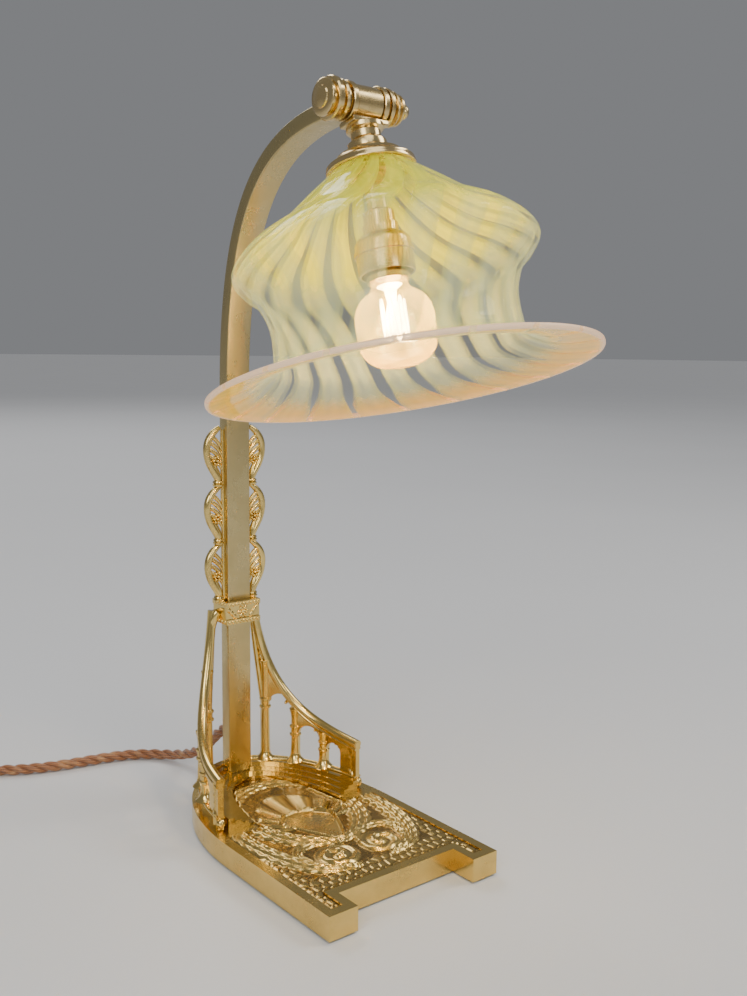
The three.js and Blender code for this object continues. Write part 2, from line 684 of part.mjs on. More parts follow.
// Three C-scrolls, one above the other, each with a round eye.
function sideScroll() {
  const inner = TUBE_WIDTH / 2 + GAP;
  const bottom = COLLAR_TOP + GAP;
  const neck = inner + SCROLL_REACH * 0.45;
  const crown = inner + SCROLL_REACH;
  const shape = new THREE.Shape();
  shape.moveTo(inner, bottom);
  shape.lineTo(neck, bottom);
  for (let tier = 0; tier < SCROLL_TIERS; tier += 1) {
    const foot = bottom + tier * SCROLL_PITCH;
    shape.bezierCurveTo(
      neck + 1, foot + SCROLL_PITCH * 0.2,
      crown, foot + SCROLL_PITCH * 0.25,
      crown, foot + SCROLL_PITCH * 0.58);
    shape.bezierCurveTo(
      crown, foot + SCROLL_PITCH * 0.8,
      neck + 2, foot + SCROLL_PITCH * 0.88,
      neck, foot + SCROLL_PITCH);
    const eye = new THREE.Path();
    eye.absarc(neck, foot + SCROLL_PITCH * 0.45, SCROLL_EYE_RADIUS, 0, 2 * Math.PI, true);
    shape.holes.push(eye);
  }
  shape.lineTo(inner, bottom + SCROLL_TIERS * SCROLL_PITCH);
  shape.closePath();
  return slabAlongY(shape, POST_Y - SCROLL_THICKNESS / 2, POST_Y + SCROLL_THICKNESS / 2, 8);
}

const scrollRight = fromSolid(solid(sideScroll()));
place(lamp, 'side_scroll_right', scrollRight, CAST_BRASS);
place(lamp, 'side_scroll_left', mirroredX(scrollRight), CAST_BRASS);

// Insulating bush where the flex enters the post.
const bushInner = CORD_DIAMETER / 2 + GAP;
const sleeveStart = -TUBE_WALL;
const cordBush = turned([
  [bushInner, sleeveStart],
  [BUSH_SLEEVE_RADIUS, sleeveStart],
  [BUSH_SLEEVE_RADIUS, GAP],
  [BUSH_FLANGE_RADIUS, GAP],
  [BUSH_FLANGE_RADIUS, GAP + BUSH_FLANGE],
  [bushInner, GAP + BUSH_FLANGE],
  [bushInner, sleeveStart],
], 16);
cordBush.rotateX(-Math.PI / 2);
cordBush.translate(0, POST_BACK, ENTRY_Z);
place(lamp, 'cord_bush', cordBush, MOULDED);

// ---------- knuckle ----------

// Turned pieces of the knuckle have their axis along X.
function turnedAlongX(points, segments = 16) {
  const geometry = turned(points, segments);
  geometry.rotateY(Math.PI / 2);
  return geometry;
}

function armEye() {
  const barrel = solid(turnedAlongX([
    [PIVOT_RADIUS + GAP, -TUBE_WIDTH / 2],
    [EYE_RADIUS, -TUBE_WIDTH / 2],
    [EYE_RADIUS, TUBE_WIDTH / 2],
    [PIVOT_RADIUS + GAP, TUBE_WIDTH / 2],
    [PIVOT_RADIUS + GAP, -TUBE_WIDTH / 2],
  ], 24));
  const boss = solid(block(
    [-TUBE_WIDTH / 2, EYE_RADIUS - 3, -TUBE_DEPTH / 2],
    [TUBE_WIDTH / 2, EYE_RADIUS + EYE_BOSS - GAP, TUBE_DEPTH / 2]));
  return fromSolid(barrel.add(boss));
}

const eye = place(lamp, 'arm_eye', armEye(), BRASS);
eye.position.set(0, KNUCKLE_Y, KNUCKLE_Z);

function shadeFork() {
  const inside = TUBE_WIDTH / 2 + GAP;
  const outside = inside + CHEEK_THICKNESS;
  const cheek = (low, high) => solid(turnedAlongX([
    [PIVOT_RADIUS + GAP, low], [CHEEK_RADIUS, low], [CHEEK_RADIUS, high],
    [PIVOT_RADIUS + GAP, high], [PIVOT_RADIUS + GAP, low],
  ], 24));
  const bridgeTop = -EYE_RADIUS - GAP;
  const bridge = solid(block(
    [-outside, -BRIDGE_DEPTH / 2, bridgeTop - BRIDGE_THICKNESS],
    [outside, BRIDGE_DEPTH / 2, bridgeTop]));
  const web = (low, high) => solid(block(
    [low, -BRIDGE_DEPTH / 2, bridgeTop - 1], [high, BRIDGE_DEPTH / 2, -PIVOT_RADIUS - 2]));
  const neckTop = bridgeTop - BRIDGE_THICKNESS + 1;
  const neck = solid(turned([
    [0, -NECK_END],
    [NECK_RADIUS + 0.3, -NECK_END],
    [NECK_RADIUS + 0.3, -NECK_END + 3.5],
    [NECK_WAIST, -NECK_END + 5],
    [NECK_WAIST, neckTop - 5],
    [NECK_RADIUS, neckTop - 4],
    [NECK_RADIUS, neckTop],
    [0, neckTop],
  ], 20));
  const bore = solid(rod(
    NIPPLE_RADIUS + GAP, -NECK_END - OVERCUT, bridgeTop - BRIDGE_THICKNESS - GAP));
  return fromSolid(join(
    cheek(-outside, -inside), cheek(inside, outside), bridge,
    web(-outside, -inside), web(inside, outside), neck).subtract(bore));
}

place(shadeHead, 'shade_fork', shadeFork(), BRASS);
place(shadeHead, 'pivot_bolt', turnedAlongX([
  [0, -PIVOT_LEFT], [PIVOT_RADIUS, -PIVOT_LEFT], [PIVOT_RADIUS, PIVOT_RIGHT], [0, PIVOT_RIGHT],
]), STEEL);

const washer = turnedAlongX([
  [PIVOT_RADIUS + GAP, WASHER_X], [PIVOT_WASHER_RADIUS, WASHER_X],
  [PIVOT_WASHER_RADIUS, WASHER_X + WASHER_THICKNESS],
  [PIVOT_RADIUS + GAP, WASHER_X + WASHER_THICKNESS], [PIVOT_RADIUS + GAP, WASHER_X],
]);
place(shadeHead, 'pivot_washer_right', washer, BRASS);
place(shadeHead, 'pivot_washer_left', mirroredX(washer), BRASS);

// Ringed knob with a shallow domed end, its blind bore on the bolt.
const knobEnd = KNOB_X + KNOB_LENGTH;
const knobLeft = turnedAlongX([
  [0, PIVOT_LEFT + GAP],
  [PIVOT_RADIUS + GAP, PIVOT_LEFT + GAP],
  [PIVOT_RADIUS + GAP, KNOB_X],
  [KNOB_RADIUS, KNOB_X],
  [KNOB_RADIUS, KNOB_X + 2.2],
  [KNOB_RADIUS - 1.6, KNOB_X + 3],
  [KNOB_RADIUS - 1.6, KNOB_X + 4.2],
  [KNOB_RADIUS - 0.3, KNOB_X + 5],
  [KNOB_RADIUS - 0.3, KNOB_X + 8],
  [KNOB_RADIUS - 2, KNOB_X + 9],
  [KNOB_RADIUS - 2, KNOB_X + 10],
  [KNOB_RADIUS - 1.2, KNOB_X + 11],
  [KNOB_RADIUS - 2.4, KNOB_X + 13.5],
  [3.4, KNOB_X + 14.5],
  [3.4, knobEnd - 1.2],
  [2, knobEnd],
  [0, knobEnd],
]);
place(shadeHead, 'pivot_knob_left', mirroredX(knobLeft), BRASS);

// Ringed clamping nut that tapers to a small ball.
const finialEnd = KNOB_X + FINIAL_LENGTH;
const finialNut = turnedAlongX([
  [0, PIVOT_RIGHT + GAP],
  [PIVOT_RADIUS + GAP, PIVOT_RIGHT + GAP],
  [PIVOT_RADIUS + GAP, KNOB_X],
  [KNOB_RADIUS, KNOB_X],
  [KNOB_RADIUS, KNOB_X + 2.2],
  [KNOB_RADIUS - 1.8, KNOB_X + 3],
  [KNOB_RADIUS - 1, KNOB_X + 4.4],
  [KNOB_RADIUS - 2, KNOB_X + 5.4],
  [KNOB_RADIUS - 1.2, KNOB_X + 6.8],
  [KNOB_RADIUS - 2.4, KNOB_X + 8],
  [KNOB_RADIUS - 2.2, KNOB_X + 9.4],
  [4.6, KNOB_X + 11.8],
  [2.6, KNOB_X + 12.4],
  [3.6, KNOB_X + 14.4],
  [2.8, finialEnd - 0.8],
  [0, finialEnd],
]);
place(shadeHead, 'finial_nut', finialNut, BRASS);

// ---------- shade and its fixings ----------

place(shadeHead, 'threaded_nipple', ring(
  NIPPLE_BORE, NIPPLE_RADIUS, -NIPPLE_END, -(EYE_RADIUS + BRIDGE_THICKNESS + 3 * GAP)), BRASS);

const capHole = NIPPLE_RADIUS + GAP;
const capEnd = -CAP_TOP - CAP_HEIGHT;
place(shadeHead, 'shade_cap', turned([
  [capHole, -CAP_TOP - CAP_WALL],
  [CAP_RADIUS * 0.5, -CAP_TOP - CAP_WALL - 1.6],
  [CAP_RADIUS * 0.66, -CAP_TOP - CAP_WALL - 4],
  [CAP_RADIUS - CAP_WALL, capEnd + 3],
  [CAP_RADIUS - CAP_WALL, capEnd],
  [CAP_RADIUS, capEnd],
  [CAP_RADIUS, capEnd + 3.6],
  [CAP_RADIUS * 0.74, -CAP_TOP - 3.4],
  [CAP_RADIUS * 0.7, -CAP_TOP - 2.2],
  [CAP_RADIUS * 0.5, -CAP_TOP - 1.2],
  [CAP_RADIUS * 0.46, -CAP_TOP],
  [capHole, -CAP_TOP],
  [capHole, -CAP_TOP - CAP_WALL],
], 24), BRASS);

// Outer profile of the shade from its hole, over the shoulder and waist, to the brim.
// Depths are shares of the shade's height below the top of the glass.
function shadeProfile() {
  const depth = (share) => -GLASS_TOP - share * SHADE_HEIGHT;
  const shoulder = SHADE_SHOULDER_RADIUS;
  const waist = SHADE_WAIST_RADIUS;
  const brim = SHADE_BRIM_RADIUS;
  const knots = [
    [GLASS_HOLE, 0], [CAP_RADIUS - 5, 0.02], [CAP_RADIUS + 1.6, 0.066],
    [shoulder * 0.47, 0.15], [shoulder * 0.66, 0.26], [shoulder * 0.88, 0.355],
    [shoulder, 0.452], [shoulder * 0.955, 0.52], [waist * 1.07, 0.585], [waist, 0.7],
    [waist, 0.83], [waist * 1.045, 0.898], [waist + (brim - waist) * 0.45, 0.968], [brim, 1],
  ];
  return new THREE.SplineCurve(
    knots.map(([radius, share]) => new THREE.Vector2(radius, depth(share))));
}

function glassShade() {
  const curve = shadeProfile();
  const outer = curve.getPoints(SHADE_STEPS);
  const inner = outer.map((point, index) => {
    const tangent = curve.getTangent(index / SHADE_STEPS);
    return new THREE.Vector2(
      point.x + tangent.y * GLASS_THICKNESS, point.y - tangent.x * GLASS_THICKNESS);
  });
  inner[0].x = GLASS_HOLE;
  const section = [...inner, ...outer.reverse(), inner[0]];
  return turned(section.map((point) => [point.x, point.y]), SHADE_SEGMENTS);
}

place(shadeHead, 'glass_shade', glassShade(), GLASS);

place(shadeHead, 'shade_ring', ring(
  NIPPLE_RADIUS + GAP, RING_RADIUS, -RING_TOP - RING_THICKNESS, -RING_TOP), BRASS);

function ringNut() {
  const hexagon = solid(rod(NUT_RADIUS, -NUT_TOP - NUT_HEIGHT, -NUT_TOP, 6));
  const bore = solid(rod(
    NIPPLE_RADIUS + GAP, -NUT_TOP - NUT_HEIGHT - OVERCUT, -NUT_TOP + OVERCUT));
  return fromSolid(hexagon.subtract(bore));
}

place(shadeHead, 'shade_ring_nut', ringNut(), BRASS);

// ---------- lampholder ----------

const capFloor = -HOLDER_TOP - HOLDER_CAP_HEIGHT;
const nippleSeat = -NIPPLE_END - GAP;
place(shadeHead, 'lampholder_cap', turned([
  [NIPPLE_RADIUS - 1, capFloor],
  [HOLDER_CAP_RADIUS, capFloor],
  [HOLDER_CAP_RADIUS, capFloor + 4],
  [HOLDER_CAP_RADIUS - 1, capFloor + 5],
  [HOLDER_CAP_RADIUS - 1, -HOLDER_TOP - 1],
  [HOLDER_CAP_RADIUS - 2, -HOLDER_TOP],
  [NIPPLE_RADIUS + GAP, -HOLDER_TOP],
  [NIPPLE_RADIUS + GAP, nippleSeat],
  [NIPPLE_RADIUS - 1, nippleSeat],
  [NIPPLE_RADIUS - 1, capFloor],
]), BRASS);

const barrelInner = HOLDER_RADIUS - HOLDER_WALL;
place(shadeHead, 'lampholder_barrel', turned([
  [barrelInner, -BARREL_END],
  [HOLDER_RADIUS, -BARREL_END],
  [HOLDER_RADIUS, -BARREL_TOP - 5],
  [HOLDER_RADIUS - 2, -BARREL_TOP - 1.6],
  [HOLDER_CAP_RADIUS, -BARREL_TOP],
  [NIPPLE_RADIUS - 1, -BARREL_TOP],
  [NIPPLE_RADIUS - 1, -BARREL_TOP - HOLDER_WALL],
  [HOLDER_CAP_RADIUS, -BARREL_TOP - HOLDER_WALL],
  [barrelInner - 0.5, -INSULATOR_TOP + GAP],
  [barrelInner, -BARREL_END],
]), BRASS);

const insulatorRadius = barrelInner - 0.5 - GAP;
const insulatorEnd = -INSULATOR_TOP - INSULATOR_THICKNESS;
function insulator() {
  const holes = [-1, 1].map((side) => {
    const hole = rod(PLUNGER_RADIUS + GAP, insulatorEnd - OVERCUT, -INSULATOR_TOP + OVERCUT, 16);
    hole.translate(side * PLUNGER_SPACING / 2, 0, 0);
    return solid(hole);
  });
  return fromSolid(cut(solid(rod(insulatorRadius, insulatorEnd, -INSULATOR_TOP)), ...holes));
}

place(shadeHead, 'holder_insulator', insulator(), CERAMIC);

for (const [name, side] of [['plunger_left', -1], ['plunger_right', 1]]) {
  const plunger = rod(PLUNGER_RADIUS, -PLUNGER_TOP - PLUNGER_LENGTH, -PLUNGER_TOP, 16);
  plunger.translate(side * PLUNGER_SPACING / 2, 0, 0);
  place(shadeHead, name, plunger, BRASS);
}

// ---------- bulb ----------

const bulbCapEnd = -BULB_CAP_TOP - BULB_CAP_HEIGHT;
place(shadeHead, 'bulb_cap', turned([
  [0, -BULB_CAP_TOP - 1.5],
  [BULB_CAP_RADIUS - 1, -BULB_CAP_TOP - 1.5],
  [BULB_CAP_RADIUS - 1, bulbCapEnd],
  [BULB_CAP_RADIUS, bulbCapEnd],
  [BULB_CAP_RADIUS, -BULB_CAP_TOP - 1],
  [BULB_CAP_RADIUS - 1, -BULB_CAP_TOP],
  [0, -BULB_CAP_TOP],
]), BRASS);

const neckRadius = BULB_CAP_RADIUS - 1 - GAP;
function bulbGlass() {
  const top = -BULB_TOP;
  const end = top - BULB_LENGTH;
  const wall = BULB_WALL;
  const outline = new THREE.Path();
  outline.moveTo(neckRadius, top);
  outline.lineTo(neckRadius, top - 3);
  outline.bezierCurveTo(
    neckRadius, top - 8, BULB_RADIUS, top - 6, BULB_RADIUS, top - 16);
  outline.lineTo(BULB_RADIUS, end + 14);
  outline.bezierCurveTo(BULB_RADIUS, end + 4, BULB_RADIUS * 0.6, end, 0, end);
  const outer = outline.getPoints(6);
  const scaleIn = (point) => new THREE.Vector2(
    point.x * (1 - wall / BULB_RADIUS),
    point.y > top - 1 ? point.y : end + wall + (point.y - end) * (1 - wall / BULB_LENGTH));
  const inner = outer.map(scaleIn).reverse();
  const section = [...outer.slice().reverse(), ...inner.slice().reverse()];
  return turned(section.map((point) => [Math.abs(point.x) < 1e-6 ? 0 : point.x, point.y]), 20);
}

place(shadeHead, 'bulb_glass', bulbGlass(), BULB_GLASS);

const stemTop = -BULB_TOP - 4;
place(shadeHead, 'bulb_filament_stem', turned([
  [0, stemTop - STEM_LENGTH],
  [4, stemTop - STEM_LENGTH],
  [5.5, stemTop - STEM_LENGTH + 4],
  [2.4, stemTop - 8],
  [3.2, stemTop - 2],
  [6.5, stemTop],
  [0, stemTop],
], 16), TUNGSTEN);

// ---------- flex, coil and plug ----------

// Chosen by hand: out of the bush, down behind the base, then away to the left.
const cordRun = [
  [0, POST_BACK + BUSH_FLANGE + 3 * GAP, ENTRY_Z],
  [0, 96, 40.2],
  [0, 105, 34.4],
  [0, 114, 26.8],
  [0, 123, 19.6],
  [-0.3, 133, 13.6],
  [-1.4, 143.6, 8.8],
  [-4, 154, 5.6],
  [-9, 163.2, 4],
  [-16.5, 171, 3.6],
  [-27, 177.6, 3.6],
  [-40, 182.2, 3.6],
  [-56, 185.4, 3.6],
  [-72, 188.6, 3.6],
  [-86, 192.8, 3.6],
  [-100, 199.2, 3.6],
  [-113, 207.3, 3.6],
  [-131.4, 219.1, 3.6],
];
const cordTail = [
  [-232.8, 163.6, 10.9],
  [-232, 154, 10.7],
  [-229, 144, 10.4],
  [-225.4, 136.5, 10.2],
  [-224.8, 129.8, 10],
];
const movedTo = (geometry, [x, y]) => geometry.translate(x, y, 0);

place(lamp, 'flex_run', tubeThrough(cordRun, CORD_DIAMETER, 20, 8), FLEX);
place(lamp, 'flex_coil', movedTo(ring(
  COIL_INNER_TURN - CORD_DIAMETER / 2, COIL_OUTER_TURN + CORD_DIAMETER / 2,
  0, COIL_HEIGHT, 36), COIL_CENTRE), FLEX);
place(lamp, 'flex_tail', tubeThrough(cordTail, CORD_DIAMETER, 5, 8), FLEX);

// The plug lies on its back with its pins up and its cord entry to +Y.
function roundedPlate(inset) {
  const half = [PLUG_SIZE[0] / 2 - inset, PLUG_SIZE[1] / 2 - inset];
  const corner = PLUG_CORNER - inset;
  const shape = new THREE.Shape();
  const corners = [[1, 1, 0], [-1, 1, 90], [-1, -1, 180], [1, -1, 270]];
  corners.forEach(([sideX, sideY, degrees]) => {
    const start = THREE.MathUtils.degToRad(degrees);
    shape.absarc(
      sideX * (half[0] - corner), sideY * (half[1] - corner), corner, start, start + Math.PI / 2);
  });
  shape.closePath();
  return shape;
}

const bodyBottom = PLUG_COVER_HEIGHT + GAP;
const bodyTop = bodyBottom + PLUG_BODY_HEIGHT;
const pins = [
  ['plug_pin_earth', 0, 14, 4, 8, EARTH_PIN_LENGTH],
  ['plug_pin_live', -11.1, -8.2, 6.4, 4, PIN_LENGTH],
  ['plug_pin_neutral', 11.1, -8.2, 6.4, 4, PIN_LENGTH],
];
const pinSeat = bodyTop - 5;

function plugBody() {
  const slots = pins.map(([, x, y, width, depth]) => solid(block(
    [x - width / 2 - GAP, y - depth / 2 - GAP, pinSeat - GAP],
    [x + width / 2 + GAP, y + depth / 2 + GAP, bodyTop + OVERCUT])));
  return fromSolid(cut(solid(slab(roundedPlate(0), bodyBottom, bodyTop, 6)), ...slots));
}

place(lamp, 'plug_cover', movedTo(
  slab(roundedPlate(0), 0, PLUG_COVER_HEIGHT, 6), PLUG_CENTRE), MOULDED);
place(lamp, 'plug_body', movedTo(plugBody(), PLUG_CENTRE), MOULDED);
for (const [name, x, y, width, depth, length] of pins) {
  place(lamp, name, movedTo(block(
    [x - width / 2, y - depth / 2, pinSeat],
    [x + width / 2, y + depth / 2, bodyTop + length]), PLUG_CENTRE), BRASS);
}

export default lamp;
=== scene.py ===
"""Looks of a brass desk lamp: chased base, fretted gallery, bent arm and striped glass shade."""

import json
import logging
import math
from dataclasses import dataclass, field
from enum import Enum
from typing import Callable, Iterable, Sequence

import bpy
import numpy as np
from mathutils import Matrix, Vector
from mathutils.kdtree import KDTree


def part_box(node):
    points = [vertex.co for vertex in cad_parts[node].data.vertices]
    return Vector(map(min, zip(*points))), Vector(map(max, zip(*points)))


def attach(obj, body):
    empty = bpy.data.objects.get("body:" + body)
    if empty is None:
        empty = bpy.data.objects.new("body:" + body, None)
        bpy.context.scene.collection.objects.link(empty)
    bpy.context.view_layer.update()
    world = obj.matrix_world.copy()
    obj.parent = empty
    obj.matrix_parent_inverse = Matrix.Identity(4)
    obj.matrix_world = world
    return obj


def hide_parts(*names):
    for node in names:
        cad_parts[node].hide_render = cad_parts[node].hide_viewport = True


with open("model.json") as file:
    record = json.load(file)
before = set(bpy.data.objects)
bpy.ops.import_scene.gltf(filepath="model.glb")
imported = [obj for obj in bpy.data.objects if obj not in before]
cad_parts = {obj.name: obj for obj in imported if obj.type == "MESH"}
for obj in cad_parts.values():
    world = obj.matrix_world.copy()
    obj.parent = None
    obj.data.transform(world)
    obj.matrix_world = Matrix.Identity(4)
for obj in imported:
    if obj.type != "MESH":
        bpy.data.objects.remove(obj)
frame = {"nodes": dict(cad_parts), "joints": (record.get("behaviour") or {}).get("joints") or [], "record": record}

log = logging.getLogger("desk_lamp")
MM = 0.001
Point = tuple[float, float, float]
Profile = Sequence[tuple[float, float]]
Piece = bpy.types.Object
Material = bpy.types.Material
TILT_AXIS = next(j for j in frame["joints"] if j["name"] == "shade_tilt")["pos_m"]
TILT_AT_REST = math.radians(15)
HEAD = Matrix.Translation(TILT_AXIS) @ Matrix.Rotation(-TILT_AT_REST, 4, "X")
ALONG_X = Matrix.Rotation(math.pi / 2, 4, "Y")
EDGE = 0.45
POLE = 0.02
SHARP = math.radians(50)


class Body(Enum):
    """The moving bodies that pieces ride on."""

    BASE = "base"
    SHADE_HEAD = "shade_head"
    CLAMP_NUT = "clamp_nut"


class Slot(Enum):
    """The record's material slots."""

    CAST_BRASS = "cast_brass"
    DRAWN_BRASS = "drawn_brass"
    TURNED_BRASS = "turned_brass"
    STEEL = "steel"
    BAIZE = "baize"
    STRIPED_GLASS = "striped_glass"
    BULB_GLASS = "bulb_glass"
    FILAMENT = "filament"
    CERAMIC = "ceramic"
    SILK_FLEX = "silk_flex"
    MOULDED_PLUG = "moulded_plug"


# ---------- shader nodes ----------


class Value:
    """A shader number that Python's operators work on, each adding a Math node."""

    def __init__(self, nodes: "NodeTree", socket: bpy.types.NodeSocket) -> None:
        """Wraps one output socket of a node tree."""
        self.nodes = nodes
        self.socket = socket

    def math(self, operation: str, *others: object) -> "Value":
        """A Math node with this value first."""
        return self.nodes.add("Math", self, *others, settings={"operation": operation})

    def __add__(self, other: object) -> "Value":
        """Sum."""
        return self.math("ADD", other)

    def __sub__(self, other: object) -> "Value":
        """Difference."""
        return self.math("SUBTRACT", other)

    def __rsub__(self, other: object) -> "Value":
        """Difference from a number."""
        return self.nodes.add("Math", other, self, settings={"operation": "SUBTRACT"})

    def __mul__(self, other: object) -> "Value":
        """Product."""
        return self.math("MULTIPLY", other)

    def __truediv__(self, other: object) -> "Value":
        """Quotient."""
        return self.math("DIVIDE", other)

    __radd__ = __add__
    __rmul__ = __mul__

    def ramp(self, low: float, high: float) -> "Value":
        """A smooth step from 0 at low to 1 at high.

        Args:
            low: The value at which the result is 0.
            high: The value at which the result is 1.

        Returns:
            The stepped value.
        """
        settings = {"interpolation_type": "SMOOTHSTEP"}
        return self.nodes.add("MapRange", self, low, high, 0.0, 1.0, settings=settings)


class NodeTree:
    """A material's node tree, filled by one method that adds any node."""

    def __init__(self, name: str) -> None:
        """Makes an empty material of this name."""
        self.material = bpy.data.materials.new(name)
        self.material.use_nodes = True
        self.tree = self.material.node_tree
        self.tree.nodes.clear()

    def add(self, kind: str, *values: object, settings: dict[str, object] | None = None,
            out: int | str = 0, **named: object) -> Value:
        """Adds a node, sets it up and links or sets its sockets.

        Args:
            kind: The node's Blender type, without ShaderNode before it.
            values: Values or links of its sockets, in order.
            settings: Its properties, set before its sockets.
            out: Which output to return.
            named: Values or links by socket name, with _ for a space.

        Returns:
            The chosen output, wrapped.
        """
        node = self.tree.nodes.new("ShaderNode" + kind)
        for key, setting in (settings or {}).items():
            setattr(node, key, setting)
        for index, value in enumerate(values):
            self._fill(node.inputs[index], value)
        for key, value in named.items():
            self._fill(node.inputs[key.replace("_", " ")], value)
        return Value(self, node.outputs[out])

    def _fill(self, socket: bpy.types.NodeSocket, value: object) -> None:
        """Links a wrapped value to a socket, or sets the socket's own value."""
        if isinstance(value, Value):
            self.tree.links.new(value.socket, socket)
        elif value is not None:
            socket.default_value = value

    def place(self, matrix: Matrix | None = None) -> Value:
        """Object coordinates, or those of a turned frame fixed to the piece.

        Args:
            matrix: The frame that the pattern follows, or None for the object's own.

        Returns:
            The vector of coordinates.
        """
        coordinates = self.add("TexCoord", out="Object")
        if matrix is None:
            return coordinates
        back = matrix.inverted()
        return self.add("Mapping", coordinates,
                        back.translation, back.to_euler("XYZ"), (1, 1, 1))

    def stretched(self, place: Value, scale: Point) -> Value:
        """The coordinates times a scale on each axis."""
        return self.add("VectorMath", place, scale, settings={"operation": "MULTIPLY"})

    def axes(self, vector: Value) -> tuple[Value, ...]:
        """The three parts of a vector."""
        split = self.add("SeparateXYZ", vector).socket.node
        return tuple(Value(self, part) for part in split.outputs)

    def noise(self, place: Value, scale: float, detail: float = 3.0,
              roughness: float = 0.5) -> Value:
        """Soft noise from 0 to 1."""
        return self.add("TexNoise", Vector=place, Scale=scale,
                        Detail=detail, Roughness=roughness)

    def mix(self, share: object, first: object, second: object) -> Value:
        """A colour between two, by share."""
        node = self.tree.nodes.new("ShaderNodeMix")
        node.data_type = "RGBA"
        for index, value in ((0, share), (6, first), (7, second)):
            if isinstance(value, tuple) and len(value) == 3:
                value = (*value, 1.0)
            self._fill(node.inputs[index], value)
        return Value(self, node.outputs[2])

    def bump(self, height: Value, distance: float, strength: float = 1.0) -> Value:
        """A bumped normal from a height."""
        return self.add("Bump", Strength=strength, Distance=distance,
                        Height=height)

    def finish(self, shader: Value) -> Material:
        """Sends a shader to the output and hands over the material."""
        output = self.tree.nodes.new("ShaderNodeOutputMaterial")
        self.tree.links.new(shader.socket, output.inputs["Surface"])
        return self.material

    def see_through(self, cover: Value, tint: Point, shader: Value) -> Material:
        """A glass that shows the shader only as far as it covers."""
        clear = self.add("BsdfTransparent", (*tint, 1.0))
        return self.finish(self.add("MixShader", cover, clear, shader))

    def principled(self, **named: object) -> Value:
        """A Principled shader with these sockets."""
        return self.add("BsdfPrincipled", **named)


# ---------- finishes ----------


@dataclass(frozen=True)
class Brass:
    """Polished brass with olive patina, a warmer tint lower down, dark patina with painted shade in marked
    hollows, and fine lines left by the polishing.
    """

    name: str
    light: Point = (0.86, 0.64, 0.22)
    dark: Point = (0.32, 0.22, 0.075)
    stain: Point = (0.70, 0.43, 0.10)
    grain: Point = (1.0, 1.0, 1.0)
    grain_scale: float = 900.0
    roughness: float = 0.15
    patina: float = 0.4
    dent: float = 0.00008
    hollow: str = ""
    hollow_colour: Point = (0.36, 0.22, 0.06)
    frame: Matrix | None = None

    def make(self) -> Material:
        """The brass material."""
        tree = NodeTree(self.name)
        place = tree.place(self.frame)
        cloud = tree.noise(place, 38.0, 4.0, 0.6)
        spots = tree.noise(place, 210.0, 3.0, 0.6)
        lines = tree.noise(tree.stretched(place, self.grain), self.grain_scale, 2.0, 0.5)
        worn = (cloud * 0.85 + spots * 0.15).ramp(0.34, 0.72)
        colour = tree.mix(worn * self.patina, self.light, self.dark)
        up = tree.axes(tree.place())[2]
        # Pieces low down take a warmer tint, strongest near the floor and gone by 13 cm up.
        warm = (1 - up.ramp(0.02, 0.13)) * (cloud * 0.7 + 0.2)
        colour = tree.mix(warm * 0.45, colour, self.stain)
        # Low places named by the attribute darken to patina, with painted shade in the recesses.
        if self.hollow:
            depth = tree.add("Attribute", settings={"attribute_name": self.hollow}, out="Fac")
            colour = tree.mix(depth.ramp(0.7, 0.1) * 0.9, colour, self.hollow_colour)
        shine = lines * 0.10 + worn * 0.16 + (self.roughness - 0.05)
        relief = lines * 0.12 + spots * 0.18 + cloud * 0.8
        shader = tree.principled(Base_Color=colour, Metallic=1.0, Roughness=shine,
                                 Normal=tree.bump(relief, self.dent, 0.6))
        return tree.finish(shader)


@dataclass(frozen=True)
class StripedGlass:
    """Clear glass with swirled milky stripes, yellow above the shoulder and peach at the rim."""

    name: str
    top: float
    height: float
    stripes: int = 20
    lean: float = 1.9
    yellow: Point = (0.74, 0.72, 0.02)
    milk: Point = (0.68, 0.74, 0.40)
    amber: Point = (1.0, 0.60, 0.035)
    peach: Point = (0.96, 0.66, 0.42)

    def make(self) -> Material:
        """The shade's glass, with the bulb's light through it painted in as a glow."""
        tree = NodeTree(self.name)
        place = tree.place(HEAD)
        x, y, z = tree.axes(place)
        turn = y.math("ARCTAN2", x) / (2 * math.pi)
        radius = (x * x + y * y).math("SQRT")
        share = (z * -1.0 - self.top) / self.height
        drift = tree.noise(place, 12.0, 2.0) * 0.14
        phase = turn * self.stripes + share * self.lean + radius * 13.0 + drift
        wave = (phase * math.pi).math("SINE").math("ABSOLUTE")
        brim = radius.ramp(0.066, 0.084)
        rim = radius.ramp(0.0952, 0.0980)
        low = share.ramp(0.86, 0.95)
        flare = brim * low
        milky = (wave + flare * 0.34).ramp(0.44, 0.60)
        across = (phase * math.pi * 6.0).math("SINE") * 0.5 + 0.5
        fine = across * 0.3 + 0.7
        crown = 1 - share.ramp(0.33, 0.45)
        facing = tree.add("LayerWeight", Blend=0.35, out="Facing")
        edge = facing.ramp(0.45, 0.95)
        colour = tree.mix(crown, self.milk, self.yellow)
        tinted = wave.ramp(0.95, 0.55) * 0.45 + share.ramp(0.52, 0.40) * 0.3
        colour = tree.mix(tinted, colour, self.yellow)
        colour = tree.mix(flare, colour, self.amber)
        colour = tree.mix(rim * low, colour, self.peach)
        cover = milky * fine * 0.27 + 0.004
        cover = cover + crown * (milky * 0.22 + 0.10) + flare * milky * 0.34
        cover = cover + rim * low * 0.6 + edge * 0.35
        # The emission is painted light: the bulb's glow through the glass, in the glass's own colours.
        shader = tree.principled(
            Base_Color=colour, Roughness=rim * low * 0.35 + 0.05, IOR=1.5,
            Emission_Color=colour, Emission_Strength=0.32,
            Normal=tree.bump(milky, 0.0004, 0.5))
        return tree.see_through(cover.math("MINIMUM", 0.95), (0.99, 0.99, 0.96), shader)


